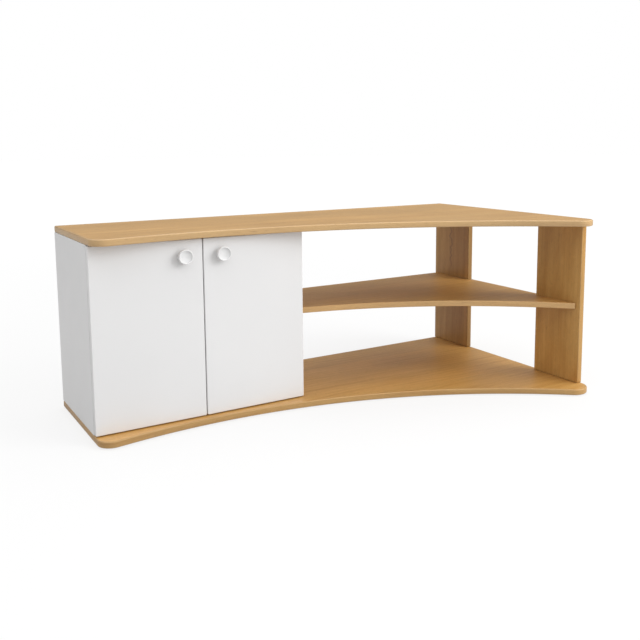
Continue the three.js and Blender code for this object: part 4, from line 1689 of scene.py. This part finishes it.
@dataclass
class Hinge(SubAssembly):
    """The arm and mounting plate of one concealed hinge, fixed to a side panel."""

    side: str
    height: str
    leg: float = 2 * MM
    neck: float = 2.5 * MM
    body: float = 10 * MM
    cover_half: float = 7.5 * MM
    cover_margin: float = 2.5 * MM  # from the front of the arm's body to its cover
    cover_rise: float = 0.6 * MM
    cover_skirt: float = 8 * MM
    cover_corner: float = 3 * MM
    cover_arrises: tuple[float, float] = (0.5 * MM, 2.2 * MM)  # at the panel and at the cupboard's inside
    cover_screws: tuple[float, float] = (0.22, 0.74)  # places along the cover
    cover_screw: ScrewHead = ScrewHead(3.1 * MM, 0.9 * MM)
    arm_corner: float = 0.95 * MM
    arm_arris: float = 0.25 * MM
    plate: float = 4 * MM
    plate_length: float = 26 * MM
    plate_half: float = 8 * MM
    wing: float = 48 * MM
    wing_half: float = 5 * MM
    plate_corner: float = 1.5 * MM
    plate_arrises: tuple[float, float] = (0.3 * MM, 0.7 * MM)
    plate_screw: ScrewHead = ScrewHead(3.3 * MM, 1.3 * MM)
    stud: Thread = Thread(2.3 * MM, 1.2 * MM, 0.5 * MM, 1 * MM)
    stud_start: float = 1 * MM  # inside the plate
    stud_reach: float = 9 * MM

    @property
    def inward(self) -> int:
        """Gives +1 for a hinge at the left of the cupboard and -1 for one at the right."""
        return 1 if self.side == "left" else -1

    def build(self) -> None:
        """Makes and dresses the arm and the plate."""
        self.make_arm()
        self.make_plate()

    def make_arm(self) -> None:
        """Makes the arm: a leg that reaches into the cup, a neck, and a body under a rounded cover."""
        node = f"{self.side}_{self.height}_hinge_arm"
        low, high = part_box(node)
        arm = Workpiece()
        outline = soften(self.arm_outline(low, high), self.arm_corner, 4)
        arm.plank(outline, Facing.UP, (low.z, high.z), (self.arm_arris, self.arm_arris), 3)
        inner = self.from_left(low.x, high.x)[1]
        middle = (low.z + high.z) / 2
        front, back = self.body_front() + self.cover_margin, high.y - self.cover_margin / 2
        plan = rectangle((front, middle - self.cover_half), (back, middle + self.cover_half))
        top = inner + self.inward * self.cover_rise
        span = self.from_left(inner - self.inward * self.cover_skirt, top)
        roundings = self.from_left(*self.cover_arrises)
        arm.plank(soften(plan, self.cover_corner), Facing.ACROSS, span, roundings, 4)
        for share in self.cover_screws:
            spot = Vector((top, front + (back - front) * share, middle))
            arm.merge(self.cover_screw.make(spot, Vector((self.inward, 0, 0))))
        self.hand_over(arm, node, NickelSteel())

    def from_left(self, panel_value: float, inner_value: float) -> tuple[float, float]:
        """Swaps two values for a hinge at the right, where the panel is at the far side."""
        return (panel_value, inner_value) if self.inward > 0 else (inner_value, panel_value)

    def body_front(self) -> float:
        """Gives the front end of the arm's thick part, just behind the front edge of the side panel."""
        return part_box("left_side_panel")[0].y + self.neck

    def arm_outline(self, low: Vector, high: Vector) -> Plan:
        """Draws the arm from above.

        Args:
            low: Lowest corner of the arm's box.
            high: Highest corner of the arm's box.

        Returns:
            Outline, anticlockwise.
        """
        outer, inner = self.from_left(low.x, high.x)
        side = self.inward
        body_front = self.body_front()
        plan = [
            Vector((outer, low.y)),
            Vector((inner, low.y)),
            Vector((inner, high.y)),
            Vector((inner - side * self.body, high.y)),
            Vector((inner - side * self.body, body_front)),
            Vector((inner - side * self.neck, body_front)),
            Vector((inner - side * self.neck, low.y + self.leg)),
            Vector((outer, low.y + self.leg)),
        ]
        return plan if side > 0 else list(reversed(plan))

    def make_plate(self) -> None:
        """Makes the cross-shaped mounting plate with its two screws and the studs behind them."""
        node = f"{self.side}_{self.height}_hinge_plate"
        middle = extent(node)[2]
        panel_faces = (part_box("left_side_panel")[1].x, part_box("partition_panel")[0].x)
        base = self.from_left(*panel_faces)[0] + self.inward * SEAT_GAP
        top = base + self.inward * self.plate
        plate = Workpiece()
        outline = soften(self.cross_outline(middle), self.plate_corner, 4)
        roundings = self.from_left(*self.plate_arrises)
        plate.plank(outline, Facing.ACROSS, self.from_left(base, top), roundings, 3)
        for offset in (-STUD_SPACING / 2, STUD_SPACING / 2):
            spot = Vector((top - self.inward * SCREW_SINK, middle.y, middle.z + offset))
            plate.merge(self.plate_screw.make(spot, Vector((self.inward, 0, 0))))
            root = Vector((base + self.inward * self.stud_start, middle.y, middle.z + offset))
            profile = self.stud.profile(self.stud_reach + self.stud_start)
            plate.turn(profile, upright_at(root, Vector((-self.inward, 0, 0))), 20)
        self.hand_over(plate, node, NickelSteel())

    def cross_outline(self, middle: Vector) -> Plan:
        """Draws the cross-shaped plate.

        Args:
            middle: Middle of the plate.

        Returns:
            Outline in (depth, height) order, anticlockwise.
        """
        long_half = self.plate_length / 2
        wing_reach = self.wing / 2
        corners = [
            (long_half, -self.plate_half),
            (long_half, self.plate_half),
            (self.wing_half, self.plate_half),
            (self.wing_half, wing_reach),
            (-self.wing_half, wing_reach),
            (-self.wing_half, self.plate_half),
            (-long_half, self.plate_half),
            (-long_half, -self.plate_half),
            (-self.wing_half, -self.plate_half),
            (-self.wing_half, -wing_reach),
            (self.wing_half, -wing_reach),
            (self.wing_half, -self.plate_half),
        ]
        return [Vector((middle.y + along, middle.z + up)) for along, up in corners]


# ---- Fixings inside the boards


@dataclass
class LongScrews(SubAssembly):
    """Long screws up through the bottom board into the four uprights."""

    head: ClassVar[float] = 3 * MM
    head_radius: float = 5 * MM
    thread: Thread = Thread(3 * MM, 2.2 * MM, 0.7 * MM, 9 * MM)

    def build(self) -> None:
        """Makes and dresses the eight screws."""
        for upright in UPRIGHTS:
            for place in PLACES:
                self.make_screw(f"{upright}_{place}_screw")

    def make_screw(self, node: str) -> None:
        """Makes one screw.

        Args:
            node: CAD node of the screw.
        """
        low, high, middle = extent(node)
        seat = Vector((middle.x, middle.y, low.z + self.head))
        screw = ScrewHead(self.head_radius, self.head, Recess.HEXAGON).make(seat, DOWN)
        screw.turn(self.thread.profile(high.z - seat.z), Matrix.Translation(seat), 24)
        self.hand_over(screw, node, NickelSteel())


@dataclass(frozen=True)
class FlutedDowel:
    """A fluted beech dowel with chamfered ends."""

    radius: float = 4 * MM
    groove: float = 0.3 * MM
    chamfer: float = 0.8 * MM
    flutes: int = 16

    def make(self, start: Vector, end: Vector) -> Workpiece:
        """Makes the dowel.

        Args:
            start: Middle of one end.
            end: Middle of the other end.

        Returns:
            The dowel.
        """
        place = upright_at(start, end - start)
        length = (end - start).length
        stations = ((0, self.chamfer), (self.chamfer, 0), (length - self.chamfer, 0), (length, self.chamfer))
        rings = []
        for height, less in stations:
            ring = []
            for step in range(2 * self.flutes):
                angle = math.pi * step / self.flutes
                radius = self.radius - less - (self.groove if step % 2 else 0)
                ring.append(place @ Vector((radius * math.cos(angle), radius * math.sin(angle), height)))
            rings.append(ring)
        dowel = Workpiece()
        dowel.loft(rings)
        return dowel


@dataclass
class UprightDowels(SubAssembly):
    """Dowels between the four uprights and the top board."""

    def build(self) -> None:
        """Makes and dresses the eight dowels."""
        for upright in UPRIGHTS:
            for place in PLACES:
                node = f"{upright}_{place}_dowel"
                low, high, middle = extent(node)
                start = Vector((middle.x, middle.y, low.z))
                end = Vector((middle.x, middle.y, high.z))
                dowel = FlutedDowel().make(start, end)
                self.hand_over(dowel, node, Beech())


@dataclass
class ShelfDowels(SubAssembly):
    """Dowels that hold the open shelf."""

    @staticmethod
    def names() -> list[str]:
        """Lists the CAD nodes of the dowels."""
        places = ("partition_back", "partition_front", "rear_corner", "right_end")
        return [f"shelf_dowel_{place}" for place in places]

    def build(self) -> None:
        """Makes and dresses the four dowels."""
        for node in self.names():
            low, high, middle = extent(node)
            start = Vector((low.x, middle.y, middle.z))
            end = Vector((high.x, middle.y, middle.z))
            dowel = FlutedDowel().make(start, end)
            self.hand_over(dowel, node, Beech())


@dataclass
class ShelfPins(SubAssembly):
    """Collared steel pins under the inner shelf."""

    collar: float = 3.6 * MM
    collar_thickness: float = 0.7 * MM
    in_panel: float = 8 * MM
    bevel: float = 0.5 * MM  # at the end in the panel
    tip: float = 1 * MM  # radius of the rounded end

    def build(self) -> None:
        """Makes and dresses the four pins."""
        for side, inward in (("left", 1), ("right", -1)):
            for place in PLACES:
                self.make_pin(f"shelf_pin_{side}_{place}", inward)

    def make_pin(self, node: str, inward: int) -> None:
        """Turns one pin.

        Args:
            node: CAD node of the pin.
            inward: +1 for a pin in the left-hand side, -1 for one in the partition.
        """
        low, high, middle = extent(node)
        radius = (high.z - low.z) / 2
        length = high.x - low.x
        start = Vector((low.x if inward > 0 else high.x, middle.y, middle.z))
        collar_start = self.in_panel + 0.1 * MM
        profile = [
            Vector((0, 0)),
            Vector((radius - self.bevel, 0)),
            Vector((radius, self.bevel)),
            Vector((radius, collar_start)),
            Vector((self.collar, collar_start)),
            Vector((self.collar, collar_start + self.collar_thickness)),
            Vector((radius, collar_start + self.collar_thickness)),
            *arc(Vector((radius - self.tip, length - self.tip)), self.tip, 0, QUARTER, 4),
            Vector((0, length)),
        ]
        pin = Workpiece()
        pin.turn(profile, upright_at(start, Vector((inward, 0, 0))), 32)
        self.hand_over(pin, node, NickelSteel())


@dataclass
class Glides(SubAssembly):
    """Felt-faced glides under the bottom board."""

    felt: float = 1.6 * MM
    felt_edge: float = 0.7 * MM
    felt_inset: float = 0.2 * MM
    disc_chamfers: tuple[float, float] = (0.4 * MM, 0.3 * MM)
    pin: float = 2.5 * MM
    pin_chamfer: float = 0.8 * MM

    @staticmethod
    def names() -> list[str]:
        """Lists the CAD nodes of the glides."""
        return [f"glide_{row}_{column}" for row in PLACES for column in ("left", "middle", "right")]

    def build(self) -> None:
        """Makes and dresses the six glides."""
        for node in self.names():
            self.make_glide(node)

    def make_glide(self, node: str) -> None:
        """Makes one glide: a felt disc under a plastic disc with a pin.

        Args:
            node: CAD node of the glide.
        """
        low, high, middle = extent(node)
        radius = (high.x - low.x) / 2
        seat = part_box("bottom_board")[0].z - SEAT_GAP
        place = Matrix.Translation(Vector((middle.x, middle.y, low.z)))
        rise, top = seat - low.z, high.z - low.z
        felt = Workpiece()
        rim = radius - self.felt_inset
        felt_edge = arc(Vector((rim - self.felt_edge, self.felt_edge)), self.felt_edge, -QUARTER, 0, 4)
        felt_top = [Vector((rim, self.felt)), Vector((0, self.felt))]
        felt.turn([Vector((0, 0)), *felt_edge, *felt_top], place, 48)
        disc = Workpiece()
        low_chamfer, high_chamfer = self.disc_chamfers
        disc_profile = [
            Vector((0, self.felt)),
            Vector((radius - low_chamfer, self.felt)),
            Vector((radius, self.felt + low_chamfer)),
            Vector((radius, rise - high_chamfer)),
            Vector((radius - high_chamfer, rise)),
            Vector((self.pin, rise)),
            Vector((self.pin, top - self.pin_chamfer)),
            Vector((self.pin - self.pin_chamfer, top)),
            Vector((0, top)),
        ]
        disc.turn(disc_profile, place, 48)
        for face in felt.mesh.faces:
            face.material_index = 0
        felt.merge(disc)
        self.hand_over(felt, node, Felt(), KnobPlastic())


# ---- Studio


@dataclass
class Studio:
    """Pale floor, soft overhead light, a large soft key light at the right, and the camera."""

    floor_size: float = 60.0
    floor_colour: Colour = (0.175, 0.175, 0.175)
    floor_glow: tuple[float, float] = (0.768, 0.825)  # near the cabinet and far from it
    floor_fade: tuple[float, float] = (1.5, 6.0)  # where the first ends and the second starts
    bounce_colour: Colour = (0.36, 0.355, 0.35)  # the floor as it lights the cabinet
    bounce_glow: float = 0.20
    zenith: float = 1.98
    low_edge: float = 0.10  # height in the sky where the overhead light starts
    rear_horizon: float = 0.05
    front_horizon: float = 0.60
    front: tuple[float, float, float] = (-0.90, -0.43, 0.0)  # where the soft low light comes from
    key_place: tuple[float, float, float] = (2.7, -2.8, 2.05)
    key_size: float = 3.0
    key_power: float = 132.0
    focal: float = 44.575  # lens in millimetres, on a sensor 36 mm wide
    camera_place: tuple[float, float, float] = (-1.1911, -1.9647, 0.7736)
    camera_yaw: float = 32.42  # degrees from straight at the back edge
    camera_pitch: float = 7.63  # degrees down
    camera_roll: float = 0.21
    shift: tuple[float, float] = (-0.0469, -0.1155)
    aim: Vector = field(default_factory=lambda: Vector((0.0, 0.0, 0.25)))

    def build(self) -> None:
        """Sets the whole studio."""
        self.lay_floor()
        self.light_sky()
        self.hang_key()
        self.set_camera()
        bpy.context.scene.view_settings.view_transform = "Standard"
        LOG.info("studio: floor, sky, key light and camera")

    def lay_floor(self) -> None:
        """Lays the floor, which glows a little so that shadows stay light."""
        half = self.floor_size / 2
        floor = Workpiece()
        corners = rectangle((-half, -half), (half, half))
        floor.mesh.faces.new([floor.mesh.verts.new(corner.to_3d()) for corner in corners])
        mesh = bpy.data.meshes.new("floor")
        floor.mesh.to_mesh(mesh)
        floor.mesh.free()
        paper = bpy.data.materials.new("studio_floor")
        paper.use_nodes = True
        recipe = Recipe(paper.node_tree)
        way_off = recipe.add("ShaderNodeVectorMath", {0: recipe.object_place()}, operation="LENGTH")
        seen_glow = recipe.span(way_off.outputs["Value"], *self.floor_fade, *self.floor_glow)
        seen = self.glowing_paper(recipe, self.floor_colour, seen_glow)
        bounced = self.glowing_paper(recipe, self.bounce_colour, self.bounce_glow)
        direct = recipe.add("ShaderNodeLightPath").outputs["Is Camera Ray"]
        choice = recipe.add("ShaderNodeMixShader", {0: direct, 1: bounced, 2: seen})
        recipe.add("ShaderNodeOutputMaterial", {"Surface": choice.outputs[0]})
        mesh.materials.append(paper)
        made = bpy.data.objects.new("floor", mesh)
        bpy.context.scene.collection.objects.link(made)

    def glowing_paper(self, recipe: Recipe, colour: Colour, glow: Value) -> Socket:
        """Adds a matt shader that glows a little.

        Args:
            recipe: Recipe to add nodes to.
            colour: Matt colour.
            glow: Strength of the glow.

        Returns:
            The shader socket.
        """
        matt = recipe.add("ShaderNodeBsdfDiffuse", {"Color": (*colour, 1.0)})
        light = recipe.add("ShaderNodeEmission", {"Color": WHITE, "Strength": glow})
        return recipe.add("ShaderNodeAddShader", {0: matt.outputs[0], 1: light.outputs[0]}).outputs[0]

    def light_sky(self) -> None:
        """Makes the sky: bright overhead, dim at the horizon, plain white to look at."""
        world = bpy.data.worlds.new("studio_sky")
        bpy.context.scene.world = world
        world.use_nodes = True
        recipe = Recipe(world.node_tree)
        way = recipe.add("ShaderNodeTexCoord").outputs["Generated"]
        height = recipe.add("ShaderNodeSeparateXYZ", {0: way}).outputs[2]
        facing = recipe.add("ShaderNodeVectorMath", {0: way, 1: self.front}, operation="DOT_PRODUCT")
        low = recipe.span(facing.outputs["Value"], -0.5, 1.0, self.rear_horizon, self.front_horizon)
        rise = {"Value": height, "From Min": self.low_edge}
        overhead = recipe.add("ShaderNodeMapRange", rise, interpolation_type="SMOOTHSTEP").outputs[0]
        low_share = recipe.math("MULTIPLY", low, recipe.math("SUBTRACT", 1.0, overhead))
        strength = recipe.math("ADD", low_share, recipe.math("MULTIPLY", overhead, self.zenith))
        lit = recipe.add("ShaderNodeBackground", {"Strength": strength}).outputs[0]
        seen = recipe.add("ShaderNodeBackground", {"Color": WHITE, "Strength": 1.0}).outputs[0]
        direct = recipe.add("ShaderNodeLightPath").outputs["Is Camera Ray"]
        choice = recipe.add("ShaderNodeMixShader", {0: direct, 1: lit, 2: seen}).outputs[0]
        recipe.add("ShaderNodeOutputWorld", {"Surface": choice})

    def hang_key(self) -> None:
        """Hangs the large key light at the upper right, in front."""
        light = bpy.data.lights.new("key_light", "AREA")
        light.shape = "SQUARE"
        light.size = self.key_size
        light.energy = self.key_power
        made = bpy.data.objects.new("key_light", light)
        made.location = self.key_place
        made.visible_glossy = False  # its mirror image would hide the grain of the boards
        made.rotation_euler = (self.aim - Vector(self.key_place)).to_track_quat("-Z", "Y").to_euler()
        bpy.context.scene.collection.objects.link(made)

    def set_camera(self) -> None:
        """Sets the camera."""
        camera = bpy.data.cameras.new("camera")
        camera.sensor_width = 36.0
        camera.lens = self.focal
        camera.shift_x, camera.shift_y = self.shift
        made = bpy.data.objects.new("camera", camera)
        yaw = Matrix.Rotation(math.radians(-self.camera_yaw), 4, "Z")
        pitch = Matrix.Rotation(math.radians(90 - self.camera_pitch), 4, "X")
        roll = Matrix.Rotation(math.radians(-self.camera_roll), 4, "Z")
        made.matrix_world = Matrix.Translation(self.camera_place) @ yaw @ pitch @ roll
        bpy.context.scene.collection.objects.link(made)
        bpy.context.scene.camera = made


def main() -> None:
    """Builds the cabinet, group by group, and then the studio."""
    logging.basicConfig(level=logging.INFO, format="%(message)s")
    groups: list[SubAssembly] = [OakBoards(), OpenBay(), CupboardBox(), Door("left"), Door("right")]
    for side in ("left", "right"):
        groups += [Hinge(side, height) for height in HEIGHTS]
    groups += [LongScrews(), UprightDowels(), ShelfDowels(), ShelfPins(), Glides()]
    for group in groups:
        group.build()
    Studio().build()


if __name__ == "__main__":
    main()
